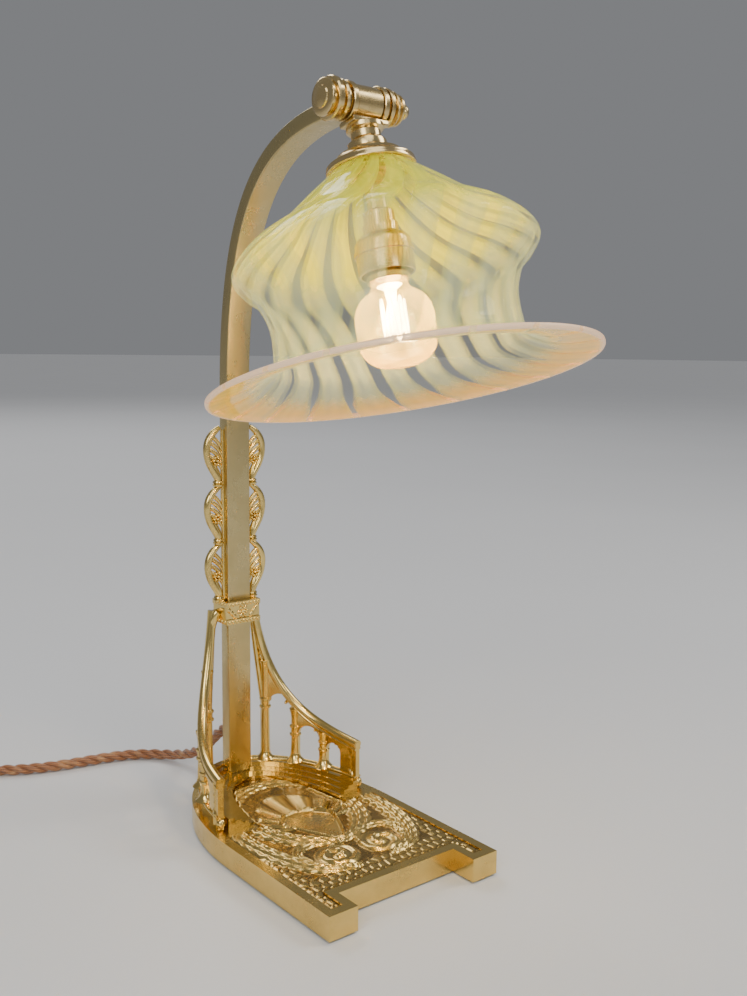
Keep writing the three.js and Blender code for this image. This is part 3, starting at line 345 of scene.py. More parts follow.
@dataclass(frozen=True)
class LitGlass:
    """The bulb's clear glass, warm with the light inside."""

    name: str
    colour: Point = (1.0, 0.76, 0.20)
    amber: Point = (1.0, 0.58, 0.05)

    def make(self) -> Material:
        """The bulb's glass."""
        tree = NodeTree(self.name)
        place = tree.place(HEAD)
        tip = (tree.axes(place)[2] * -1.0).ramp(0.117, 0.135)
        cloud = tree.noise(place, 60.0, 2.0)
        colour = tree.mix(tip, self.colour, self.amber)
        facing = tree.add("LayerWeight", Blend=0.4, out="Facing")
        shader = tree.principled(
            Base_Color=colour, Roughness=0.05, IOR=1.5, Emission_Color=colour,
            Emission_Strength=0.45)
        cover = cloud * 0.12 + 0.08 + facing * 0.35 + tip * 0.2
        return tree.see_through(cover, (1.0, 0.95, 0.86), shader)


@dataclass(frozen=True)
class Glowing:
    """Something that gives off light, with a mottled colour."""

    name: str
    colour: Point
    strength: float

    def make(self) -> Material:
        """The glowing material."""
        tree = NodeTree(self.name)
        flicker = tree.noise(tree.place(), 300.0, 2.0)
        colour = tree.mix(flicker, self.colour, (1.0, 0.9, 0.7))
        shader = tree.principled(Base_Color=colour, Roughness=flicker * 0.2 + 0.4,
                                 Emission_Color=colour, Emission_Strength=self.strength)
        return tree.finish(shader)


@dataclass(frozen=True)
class Plain:
    """A dull or glossy surface with mottled colour and a fine texture."""

    name: str
    light: Point
    dark: Point
    scale: float
    roughness: float
    metallic: float = 0.0
    dent: float = 0.0001

    def make(self) -> Material:
        """The mottled material."""
        tree = NodeTree(self.name)
        place = tree.place()
        coarse = tree.noise(place, self.scale * 0.12, 3.0)
        fine = tree.noise(place, self.scale, 4.0, 0.65)
        colour = tree.mix((coarse * 0.5 + fine * 0.5).ramp(0.3, 0.7), self.dark, self.light)
        shader = tree.principled(
            Base_Color=colour, Metallic=self.metallic,
            Roughness=fine * 0.2 + (self.roughness - 0.1),
            Normal=tree.bump(fine, self.dent, 0.5))
        return tree.finish(shader)


@dataclass(frozen=True)
class BraidedSilk:
    """A braided silk cover, its threads crossing on the strand's own UV map."""

    name: str
    light: Point = (0.40, 0.165, 0.065)
    dark: Point = (0.10, 0.04, 0.018)
    gold: Point = (0.58, 0.33, 0.15)

    def make(self) -> Material:
        """The silk cover."""
        tree = NodeTree(self.name)
        uv = tree.add("UVMap", settings={"uv_map": "strand"})
        around, along, _ = tree.axes(uv)
        one = ((around * 6.0 + along) * math.pi).math("SINE").math("ABSOLUTE")
        other = ((around * 6.0 - along) * math.pi).math("SINE").math("ABSOLUTE")
        thread = one.math("MAXIMUM", other)
        wear = tree.noise(tree.place(), 120.0, 3.0)
        colour = tree.mix(thread.ramp(0.45, 0.95), self.dark, self.light)
        colour = tree.mix(wear.ramp(0.5, 0.75) * 0.7, colour, self.gold)
        shader = tree.principled(
            Base_Color=colour, Roughness=wear * 0.2 + 0.35, Sheen_Weight=0.4,
            Sheen_Roughness=0.4, Normal=tree.bump(thread, 0.0002, 0.8))
        return tree.finish(shader)


class Finishes:
    """Every material of the lamp, made once, and what gives a piece its own."""

    def __init__(self, glass_top: float, glass_height: float) -> None:
        """Makes the materials; the glass needs its own depth down the head's axis."""
        looks = {
            Slot.CAST_BRASS: Brass("cast_brass", patina=0.36),
            Slot.DRAWN_BRASS: Brass(
                "drawn_brass", light=(0.60, 0.48, 0.23), dark=(0.38, 0.30, 0.13),
                grain=(1.0, 1.0, 0.03), patina=0.3, dent=0.00002, roughness=0.24),
            Slot.TURNED_BRASS: Brass(
                "turned_brass", light=(0.80, 0.60, 0.28), patina=0.3, grain=(1.0, 1.0, 30.0),
                grain_scale=120.0, dent=0.00004, frame=HEAD),
            Slot.STRIPED_GLASS: StripedGlass("striped_glass", glass_top, glass_height),
            Slot.BULB_GLASS: LitGlass("bulb_glass"),
            Slot.FILAMENT: Glowing("filament", (1.0, 0.66, 0.22), 30.0),
            Slot.SILK_FLEX: BraidedSilk("silk_flex"),
            Slot.STEEL: Plain("steel", (0.62, 0.62, 0.6), (0.34, 0.33, 0.31), 900.0, 0.35, 1.0),
            Slot.BAIZE: Plain("baize", (0.07, 0.20, 0.10), (0.02, 0.09, 0.04), 2400.0, 0.95,
                              dent=0.0006),
            Slot.CERAMIC: Plain("ceramic", (0.90, 0.87, 0.80), (0.76, 0.71, 0.62), 300.0, 0.3),
            Slot.MOULDED_PLUG: Plain("moulded_plug", (0.055, 0.045, 0.04),
                                     (0.02, 0.016, 0.014), 500.0, 0.38),
        }
        self.by_slot = {slot: look.make() for slot, look in looks.items()}
        # The chased deck's low relief darkens with patina and painted shade.
        self.chased = Brass("chased_brass", hollow="raised", roughness=0.2, patina=0.3,
                            dent=0.0001).make()

    def dress(self, obj: Piece, slot: Slot, body: Body, *replaces: str,
              look: Material | None = None) -> Piece:
        """Gives a piece the finish of its slot, puts it on its body and hides the nodes it stands for.

        Args:
            obj: The piece.
            slot: The record's slot of its finish.
            body: The body it rides on.
            replaces: CAD nodes that aren't shown any more.
            look: A finish to use in place of the slot's own, or None.

        Returns:
            The piece.
        """
        obj.data.materials.clear()
        obj.data.materials.append(look or self.by_slot[slot])
        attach(obj, body.value)
        if replaces:
            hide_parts(*replaces)
        log.info("%s: %d faces, rides on %s", obj.name, len(obj.data.polygons), body.value)
        return obj

    def dress_frame(self) -> None:
        """Gives each CAD node the finish of its slot in the record."""
        for row in frame["record"]["subparts"]:
            node = frame["nodes"][row["node"]]
            node.data.materials.clear()
            node.data.materials.append(self.by_slot[Slot(row["material_slot"])])
            if row["node"] in ("base_plate", "post_collar"):
                softened = node.modifiers.new("softened_edges", "BEVEL")
                softened.width = EDGE * MM
                softened.segments = 2
                softened.limit_method = "ANGLE"
                softened.angle_limit = SHARP


# ---------- modelling ----------


def box(node: str) -> tuple[Vector, Vector]:
    """The corners of a CAD node's box, in millimetres."""
    low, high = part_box(node)
    return low / MM, high / MM


def edited() -> None:
    """Ends the editing of the active piece."""
    bpy.ops.object.mode_set(mode="OBJECT")


def nothing_selected() -> None:
    """Leaves edit mode and deselects every object."""
    if bpy.context.object is not None and bpy.context.object.mode != "OBJECT":
        edited()
    bpy.ops.object.select_all(action="DESELECT")


def only(obj: Piece) -> Piece:
    """Selects one object alone and makes it the active one."""
    nothing_selected()
    obj.select_set(True)
    bpy.context.view_layer.objects.active = obj
    return obj


def edit_all() -> None:
    """Starts editing the active piece with every corner of it selected."""
    bpy.ops.object.mode_set(mode="EDIT")
    bpy.ops.mesh.select_mode(type="VERT")
    bpy.ops.mesh.select_all(action="SELECT")


def applied(obj: Piece, kind: str, **settings: object) -> Piece:
    """Adds a modifier with these settings and applies it.

    Args:
        obj: The piece.
        kind: The modifier's Blender type.
        settings: Its properties.

    Returns:
        The piece.
    """
    only(obj)
    modifier = obj.modifiers.new(kind.lower(), kind)
    for key, setting in settings.items():
        setattr(modifier, key, setting)
    bpy.ops.object.modifier_apply(modifier=modifier.name)
    return obj


def settled(obj: Piece, matrix: Matrix | None = None) -> Piece:
    """Puts a piece's place into its mesh, with its object left at the origin.

    Args:
        obj: The piece.
        matrix: A further move after its own, or None.

    Returns:
        The piece.
    """
    bpy.context.view_layer.update()
    own = obj.matrix_world.copy()
    obj.data.transform((matrix or Matrix.Identity(4)) @ own)
    obj.matrix_world = Matrix.Identity(4)
    return obj


def joined(name: str, pieces: Iterable[Piece]) -> Piece:
    """Joins pieces that already hold their place in their mesh.

    Args:
        name: The joined piece's name.
        pieces: The objects to join.

    Returns:
        The joined piece.
    """
    pieces = list(pieces)
    nothing_selected()
    for piece in pieces:
        piece.select_set(True)
    bpy.context.view_layer.objects.active = pieces[0]
    if len(pieces) > 1:
        bpy.ops.object.join()
    pieces[0].name = name
    return pieces[0]


def smoothed(obj: Piece, degrees: float = 35.0) -> Piece:
    """Shades a piece smooth where its faces meet at less than this angle."""
    only(obj)
    bpy.ops.object.shade_smooth_by_angle(angle=math.radians(degrees))
    return obj


def outward(obj: Piece, merge: float = 1e-6) -> Piece:
    """Merges doubled corners and turns every face outwards."""
    only(obj)
    edit_all()
    bpy.ops.mesh.remove_doubles(threshold=merge)
    bpy.ops.mesh.normals_make_consistent(inside=False)
    edited()
    return obj


def shown(obj: Piece) -> Piece:
    """Puts an object into the scene."""
    bpy.context.scene.collection.objects.link(obj)
    return obj


def added(name: str, add: Callable[..., object], scale: Sequence[float] = (1, 1, 1),
          **settings: object) -> Piece:
    """Adds a primitive and scales its mesh.

    Args:
        name: The piece's name.
        add: The operator that adds it.
        scale: The scale along each axis.
        settings: The operator's own settings.

    Returns:
        The piece.
    """
    nothing_selected()
    add(**settings)
    obj = bpy.context.object
    obj.name = name
    edit_all()
    bpy.ops.transform.resize(value=tuple(scale))
    edited()
    return obj


def mirrored(right: Piece, name: str) -> Piece:
    """A copy of a piece on the other side of the lamp."""
    left = right.copy()
    left.data = right.data.copy()
    left.name = name
    left.data.transform(Matrix.Scale(-1, 4, (1, 0, 0)))
    return outward(shown(left))


def chamfered(name: str, size: Sequence[float], move: Matrix) -> Piece:
    """A block with softened edges.

    Args:
        name: The piece's name.
        size: Its sides in millimetres.
        move: Where it goes.

    Returns:
        The block.
    """
    block = added(name, bpy.ops.mesh.primitive_cube_add, [s * MM for s in size], size=1.0)
    edit_all()
    bpy.ops.mesh.bevel(offset=0.6 * MM, segments=2)
    edited()
    return settled(block, move)


def stacked(name: str, rings: Profile, sides: int, fill: str) -> Piece:
    """A circle extruded upright through a row of rings.

    Args:
        name: The piece's name.
        rings: Radius and height of each ring in millimetres.
        sides: How many sides the circle has.
        fill: How the first ring is filled.

    Returns:
        The piece.
    """
    radius, height = rings[0]
    obj = added(name, bpy.ops.mesh.primitive_circle_add, vertices=sides, radius=radius * MM,
                location=(0, 0, height * MM), fill_type=fill)
    edit_all()
    for next_radius, next_height in rings[1:]:
        bpy.ops.mesh.extrude_region_move(
            TRANSFORM_OT_translate={"value": (0, 0, (next_height - height) * MM)})
        ratio = next_radius / radius
        bpy.ops.transform.resize(value=(ratio, ratio, 1))
        radius, height = next_radius, next_height
    edited()
    return obj


def turned(name: str, profile: Profile, matrix: Matrix, sides: int = 64,
           hollow: bool = False) -> Piece:
    """Turns a piece on its own axis.

    Args:
        name: The piece's name.
        profile: Radius and height of each ring in millimetres.
        matrix: Where the axis goes.
        sides: How many sides the circle has.
        hollow: True if the profile closes on itself round a hole.

    Returns:
        The piece, closed and facing outwards.
    """
    rings = [(max(radius, POLE), height) for radius, height in profile]
    if hollow:
        rings.append(rings[0])
    obj = stacked(name, rings, sides, "NOTHING" if hollow else "NGON")
    return smoothed(outward(settled(obj, matrix)))


def rod_along(name: str, points: Sequence[Sequence[float]], radii: Sequence[float],
              sides: int = 4) -> Piece:
    """A tapered round rod on a smooth line through points, in millimetres.

    Args:
        name: The piece's name.
        points: The places on its middle line.
        radii: Its radius at each point.
        sides: The bevel's resolution.

    Returns:
        The rod as a closed mesh.
    """
    nothing_selected()
    bpy.ops.curve.primitive_nurbs_path_add()
    obj = bpy.context.object
    obj.name = name
    curve = obj.data
    curve.splines.clear()
    spline = curve.splines.new("NURBS")
    spline.points.add(len(points) - 1)
    for place, point, radius in zip(spline.points, points, radii):
        place.co = (*(c * MM for c in point), 1.0)
        place.radius = radius
    spline.use_endpoint_u = True
    spline.order_u = min(4, len(points))
    spline.resolution_u = 4
    curve.bevel_depth = MM
    curve.bevel_resolution = sides
    curve.use_fill_caps = True
    bpy.ops.object.convert(target="MESH")
    obj = bpy.context.object
    return smoothed(settled(obj), 60)


def boss(name: str, centre: Sequence[float], size: Sequence[float],
         turn: Matrix | None = None, taper: float = 0.0) -> Piece:
    """A rounded boss, tapered to a leaf or bud towards its upper end.

    Args:
        name: The piece's name.
        centre: Its middle in millimetres.
        size: Its half-sizes in millimetres.
        turn: A rotation of the boss, or None.
        taper: How much thinner it gets towards its upper end, from 0 to 1.

    Returns:
        The boss.
    """
    obj = added(name, bpy.ops.mesh.primitive_uv_sphere_add, [s * MM for s in size],
                segments=16, ring_count=10, radius=1.0)
    for vertex in obj.data.vertices:
        narrow = 1 - taper * (vertex.co.z / (size[2] * MM) + 1) / 2
        vertex.co = (vertex.co.x * narrow, vertex.co.y * narrow, vertex.co.z)
    move = Matrix.Translation(Vector(centre) * MM) @ (turn or Matrix.Identity(4))
    return smoothed(settled(obj, move), 60)


def bezier(knots: Sequence[Vector], steps: int) -> list[Vector]:
    """Points on the cubic curve of four knots, both ends included."""
    line = []
    for step in range(steps + 1):
        t = step / steps
        u = 1 - t
        weights = (u ** 3, 3 * u * u * t, 3 * u * t * t, t ** 3)
        line.append(sum((k * w for k, w in zip(knots, weights)), Vector()))
    return line


def smooth_line(knots: Sequence[Sequence[float]], steps: int) -> list[Vector]:
    """Points on a Catmull-Rom line through knots.

    Args:
        knots: The places that it passes.
        steps: How many points per span.

    Returns:
        The points, the last knot included.
    """
    ends = [Vector(k) for k in knots]
    line = []
    for i in range(len(ends) - 1):
        p0, p1, p2 = ends[max(i - 1, 0)], ends[i], ends[i + 1]
        p3 = ends[min(i + 2, len(ends) - 1)]
        for step in range(steps):
            t = step / steps
            a = (p2 - p0) * 0.5
            b = p0 * 1.0 - p1 * 2.5 + p2 * 2.0 - p3 * 0.5
            c = (p3 - p0) * 0.5 + (p1 - p2) * 1.5
            line.append(p1 + a * t + b * t * t + c * t * t * t)
    return line + [ends[-1]]


# ---------- camera and light ----------


@dataclass
class Studio:
    """The camera, the floor and the lights."""

    eye: Point = (-0.3428, -0.4821, 0.2837)
    azimuth: float = 38.8
    dip: float = 7.78
    roll: float = 0.594
    lens: float = 38.42

    def camera(self) -> None:
        """Places the camera at its viewing angle."""
        azimuth, dip, roll = (math.radians(a) for a in (self.azimuth, self.dip, self.roll))
        look = Vector((math.sin(azimuth) * math.cos(dip), math.cos(azimuth) * math.cos(dip),
                       -math.sin(dip)))
        level = Vector((math.cos(azimuth), -math.sin(azimuth), 0))
        rise = level.cross(look)
        right = level * math.cos(roll) + rise * math.sin(roll)
        up = rise * math.cos(roll) - level * math.sin(roll)
        data = bpy.data.cameras.new("camera")
        data.lens = self.lens
        data.clip_start = 0.01
        camera = shown(bpy.data.objects.new("camera", data))
        turn = Matrix((right, up, -look)).transposed().to_4x4()
        camera.matrix_world = Matrix.Translation(self.eye) @ turn
        bpy.context.scene.camera = camera

    def floor(self) -> None:
        """A pale level floor."""
        floor = added("studio_floor", bpy.ops.mesh.primitive_plane_add, size=120.0,
                      location=(0, 0, -0.0002))
        tree = NodeTree("studio_floor")
        cloud = tree.noise(tree.place(), 2.0, 2.0)
        colour = tree.mix(cloud, (0.70, 0.70, 0.705), (0.74, 0.74, 0.745))
        floor.data.materials.append(
            tree.finish(tree.principled(Base_Color=colour, Roughness=0.6)))

    def light(self, kind: str, name: str, place: Point, power: float, size: float,
              colour: Point = (1.0, 1.0, 1.0)) -> Piece:
        """Adds one light.

        Args:
            kind: Its Blender type.
            name: Its name.
            place: Where it stands.
            power: Its energy.
            size: A square's side, a bulb's radius or the angle of a far light.
            colour: Its colour.

        Returns:
            The light.
        """
        data = bpy.data.lights.new(name, kind)
        data.energy = power
        data.color = colour
        setattr(data, {"AREA": "size", "SUN": "angle", "POINT": "shadow_soft_size"}[kind], size)
        lamp = shown(bpy.data.objects.new(name, data))
        lamp.location = place
        return lamp

    def lights(self) -> None:
        """Soft lights to the left, right, back and front, and an even surround."""
        even = self.light("SUN", "even_light", (0.0, 0.0, 0.0), 0.7, 0.7)
        even.rotation_euler = (0.5, -0.3, 0)
        for name, place, power, size, colour in (
                ("soft_left", (-1.3, -0.8, 1.0), 10.0, 0.8, (1.0, 1.0, 1.0)),
                ("soft_right", (1.2, -0.6, 1.3), 10.0, 0.7, (1.0, 0.97, 0.92)),
                ("soft_back", (0.5, 3.2, 3.4), 60.0, 2.2, (1.0, 1.0, 1.0)),
                ("soft_front", (-0.1, -1.6, 0.7), 3.5, 0.5, (1.0, 1.0, 1.0))):
            aim = Vector((0.0, 0.0, 0.2)) - Vector(place)
            lamp = self.light("AREA", name, place, power, size, colour)
            lamp.rotation_euler = aim.to_track_quat("-Z", "Y").to_euler()
        world = bpy.data.worlds.new("surround")
        world.use_nodes = True
        background = world.node_tree.nodes["Background"]
        background.inputs[0].default_value = (0.42, 0.43, 0.45, 1)
        background.inputs[1].default_value = 0.5
        bpy.context.scene.world = world

    def bulb_light(self, place: Vector) -> None:
        """The light of the lit bulb, which moves with the shade."""
        lamp = self.light("POINT", "bulb_light", place, 1.0, 0.012, (1.0, 0.74, 0.38))
        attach(lamp, Body.SHADE_HEAD.value)


@dataclass
class Part:
    """A group of pieces that are modelled together."""

    finishes: Finishes


# ---------- flex ----------


@dataclass
class Flex(Part):
    """Three braided strands twisted together, from the post to the plug, in millimetres."""

    diameter: float = 7.0
    pitch: float = 27.0
    strand_radius: float = 1.72
    strand_offset: float = 1.86
    sides: int = 10
    even_step: float = 1.5
    weave: float = 2.6
    turns: float = 2.67
    arrive: float = 57.2
    leave: float = 180.0
    run: Sequence[Point] = (
        (0, 89.6, 42), (0, 96, 40.2), (0, 105, 34.4), (0, 114, 26.8), (0, 123, 19.6),
        (-0.3, 133, 13.6), (-1.4, 143.6, 8.8), (-4, 154, 5.6), (-9, 163.2, 4), (-16.5, 171, 3.6),
        (-27, 177.6, 3.6), (-40, 182.2, 3.6), (-56, 185.4, 3.6), (-72, 188.6, 3.6),
        (-86, 192.8, 3.6), (-100, 199.2, 3.6), (-113, 207.3, 3.6), (-131.4, 219.1, 3.6))
    tail: Sequence[Point] = (
        (-232.8, 163.6, 10.9), (-232, 154, 10.7), (-229, 144, 10.4), (-225.4, 136.5, 10.2),
        (-224.8, 129.8, 10))

    def __post_init__(self) -> None:
        """Takes the coil's middle and its widest turn from the frame."""
        low, high = box("flex_coil")
        self.centre = [round((a + b) / 2, 3) for a, b in zip(low, high)]
        self.outer_turn = round((high.x - low.x - self.diameter) / 2, 3)
        self.inner_turn = self.outer_turn - self.turns * self.diameter

    def coil(self) -> list[Point]:
        """The turns of the coil: in along the floor, then out again on top of them."""
        sweep = self.turns * 360.0
        low, high = self.diameter / 2 + 0.3, self.diameter * 1.5 + 0.7
        climb = 70.0
        step = 15.0
        points = []
        count = int(2 * sweep / step)
        for index in range(count + 1):
            swept = 2 * sweep * index / count
            angle = math.radians(self.arrive + swept * (
                (self.leave - self.arrive + 5 * 360.0) / (2 * sweep)))
            share = swept / sweep
            radius = self.outer_turn - (self.outer_turn - self.inner_turn) * (
                share if share < 1 else 2 - share)
            rise = min(max((swept - sweep + climb / 2) / climb, 0.0), 1.0)
            rise = rise * rise * (3 - 2 * rise)
            points.append((self.centre[0] + radius * math.cos(angle),
                           self.centre[1] + radius * math.sin(angle),
                           low + (high - low) * rise))
        return points

    def route(self) -> list[Vector]:
        """The whole middle line, in even steps of about a millimetre and a half."""
        knots = [*self.run, *self.coil(), *self.tail]
        line = smooth_line(knots, 12)
        lengths = np.concatenate([[0], np.cumsum([
            (b - a).length for a, b in zip(line, line[1:])])])
        count = int(lengths[-1] / self.even_step)
        wanted = np.linspace(0, lengths[-1], count + 1)
        array = np.array([tuple(p) for p in line])
        return [Vector(tuple(np.interp(w, lengths, array[:, k]) for k in range(3)))
                for w in wanted]

    def strand(self, line: Sequence[Vector], start: float) -> Piece:
        """One strand wound round the middle line.

        Args:
            line: The middle line.
            start: The strand's first angle round it.

        Returns:
            The strand, with its own UV map.
        """
        count = len(line)
        lie = Vector((1, 0, 0))
        rings = []
        travelled = 0.0
        for index, point in enumerate(line):
            ahead = (line[min(index + 1, count - 1)] - line[max(index - 1, 0)]).normalized()
            lie = (lie - ahead * lie.dot(ahead)).normalized()
            across = ahead.cross(lie)
            if index:
                travelled += (point - line[index - 1]).length
            spin = start + 2 * math.pi * travelled / self.pitch
            out = lie * math.cos(spin) + across * math.sin(spin)
            side = ahead.cross(out)
            middle = point + out * self.strand_offset
            rings.append([
                (middle + (out * math.cos(a) + side * math.sin(a)) * self.strand_radius) * MM
                for a in (2 * math.pi * k / self.sides for k in range(self.sides))])
        corners = [tuple(c) for r in rings for c in r]
        faces = []
        for a in range(0, (count - 1) * self.sides, self.sides):
            for k in range(self.sides):
                n = (k + 1) % self.sides
                faces.append((a + k, a + n, a + n + self.sides, a + k + self.sides))
        faces.append(tuple(range(self.sides - 1, -1, -1)))
        last = (count - 1) * self.sides
        faces.append(tuple(range(last, last + self.sides)))
        mesh = bpy.data.meshes.new("strand")
        mesh.from_pydata(corners, [], faces)
        uv = mesh.uv_layers.new(name="strand")
        for polygon in mesh.polygons:
            for loop in polygon.loop_indices:
                corner = mesh.loops[loop].vertex_index
                ring, k = divmod(corner, self.sides)
                wrap = 1.0 if k == 0 and polygon.index % self.sides == self.sides - 1 else 0.0
                uv.data[loop].uv = (k / self.sides + wrap, ring * self.even_step / self.weave)
        return shown(bpy.data.objects.new("strand", mesh))

    def make(self, plug: Piece, sleeve: Piece) -> None:
        """Args:
            plug: The plug on its far end; not used.
            sleeve: The plug's cord sleeve; not used.
        """
        line = self.route()
        strands = [self.strand(line, 2 * math.pi * k / 3) for k in range(3)]
        flex = smoothed(joined("twisted_flex", strands), 50)
        self.finishes.dress(flex, Slot.SILK_FLEX, Body.BASE, "flex_run", "flex_coil",
                            "flex_tail")
        self.diameter * MM

    def tie(self, degrees: float, name: str) -> None:
        """A soft band round the coil's turns.

        Args:
            degrees: Where on the coil it is.
            name: The band's name.
        """
        middle = (self.outer_turn + self.inner_turn) / 2
        half_wide = (self.outer_turn - self.inner_turn + self.diameter) / 2 + 1.0
        top = 2 * self.diameter + 1.6
        obj = added(name, bpy.ops.mesh.primitive_cylinder_add,
                    (half_wide * MM, top / 2 * MM, 1), vertices=32, radius=1.0, depth=5 * MM,
                    end_fill_type="NOTHING")
        applied(obj, "SOLIDIFY", thickness=0.5 * MM, offset=-1.0)
        stand = Matrix.Rotation(math.pi / 2, 4, "X")
        angle = math.radians(degrees)
        place = Vector((self.centre[0] + middle * math.cos(angle),
                        self.centre[1] + middle * math.sin(angle), top / 2 + 0.1)) * MM
        settled(obj, Matrix.Translation(place) @ Matrix.Rotation(angle, 4, "Z") @ stand)
        self.finishes.dress(smoothed(obj), Slot.MOULDED_PLUG, Body.BASE)


@dataclass
class Plug(Part):
    """The three-pin plug, lying on its back, and the size of its cord sleeve."""

    width: float = 5.6
    pitch: float = 4.2
    height: float = 10.2

    def shell(self) -> Piece:
        """The moulded shell: a block with round corners and soft edges."""
        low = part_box("plug_cover")[0]
        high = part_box("plug_body")[1]
        obj = added("plug_shell", bpy.ops.mesh.primitive_cube_add, high - low, size=1.0,
                    location=(low + high) / 2)
        mesh = obj.data
        for polygon in mesh.polygons:
            polygon.select = False
        for edge in mesh.edges:
            start, end = (mesh.vertices[v].co.z for v in edge.vertices)
            edge.select = abs(start - end) > 0.1 * MM
        bpy.ops.object.mode_set(mode="EDIT")
        bpy.ops.mesh.select_mode(type="EDGE")
        bpy.ops.mesh.bevel(offset=9 * MM, segments=8)
        edited()
        applied(obj, "BEVEL", width=1.4 * MM, segments=4, limit_method="ANGLE",
                angle_limit=SHARP)
        return smoothed(settled(obj))

    def sleeve(self) -> Piece:
        """The tapered ribbed sleeve where the flex goes into the plug."""
        low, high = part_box("plug_body")
        profile = [(0, -6), (self.width, -6), (self.width, 1)]
        for rib in range(5):
            start = 1 + rib * self.pitch
            radius = self.width - rib * 0.3
            profile += [(radius, start), (radius, start + 2.4), (radius - 0.6, start + 2.8),
                        (radius - 0.6, start + self.pitch)]
        profile += [(4.0, 23), (0, 23)]
        place = Matrix.Translation(((low.x + high.x) / 2, high.y, self.height * MM))
        place @= Matrix.Rotation(-math.pi / 2, 4, "X")
        return turned("plug_sleeve", profile, place, 32)

    def make(self) -> tuple[Piece, Piece]:
        """Makes the plug's pieces.

        Returns:
            The shell and the sleeve.
        """
        shell = self.finishes.dress(self.shell(), Slot.MOULDED_PLUG, Body.BASE,
                                    "plug_cover", "plug_body")
        return shell, self.finishes.dress(self.sleeve(), Slot.MOULDED_PLUG, Body.BASE)


# ---------- base ----------


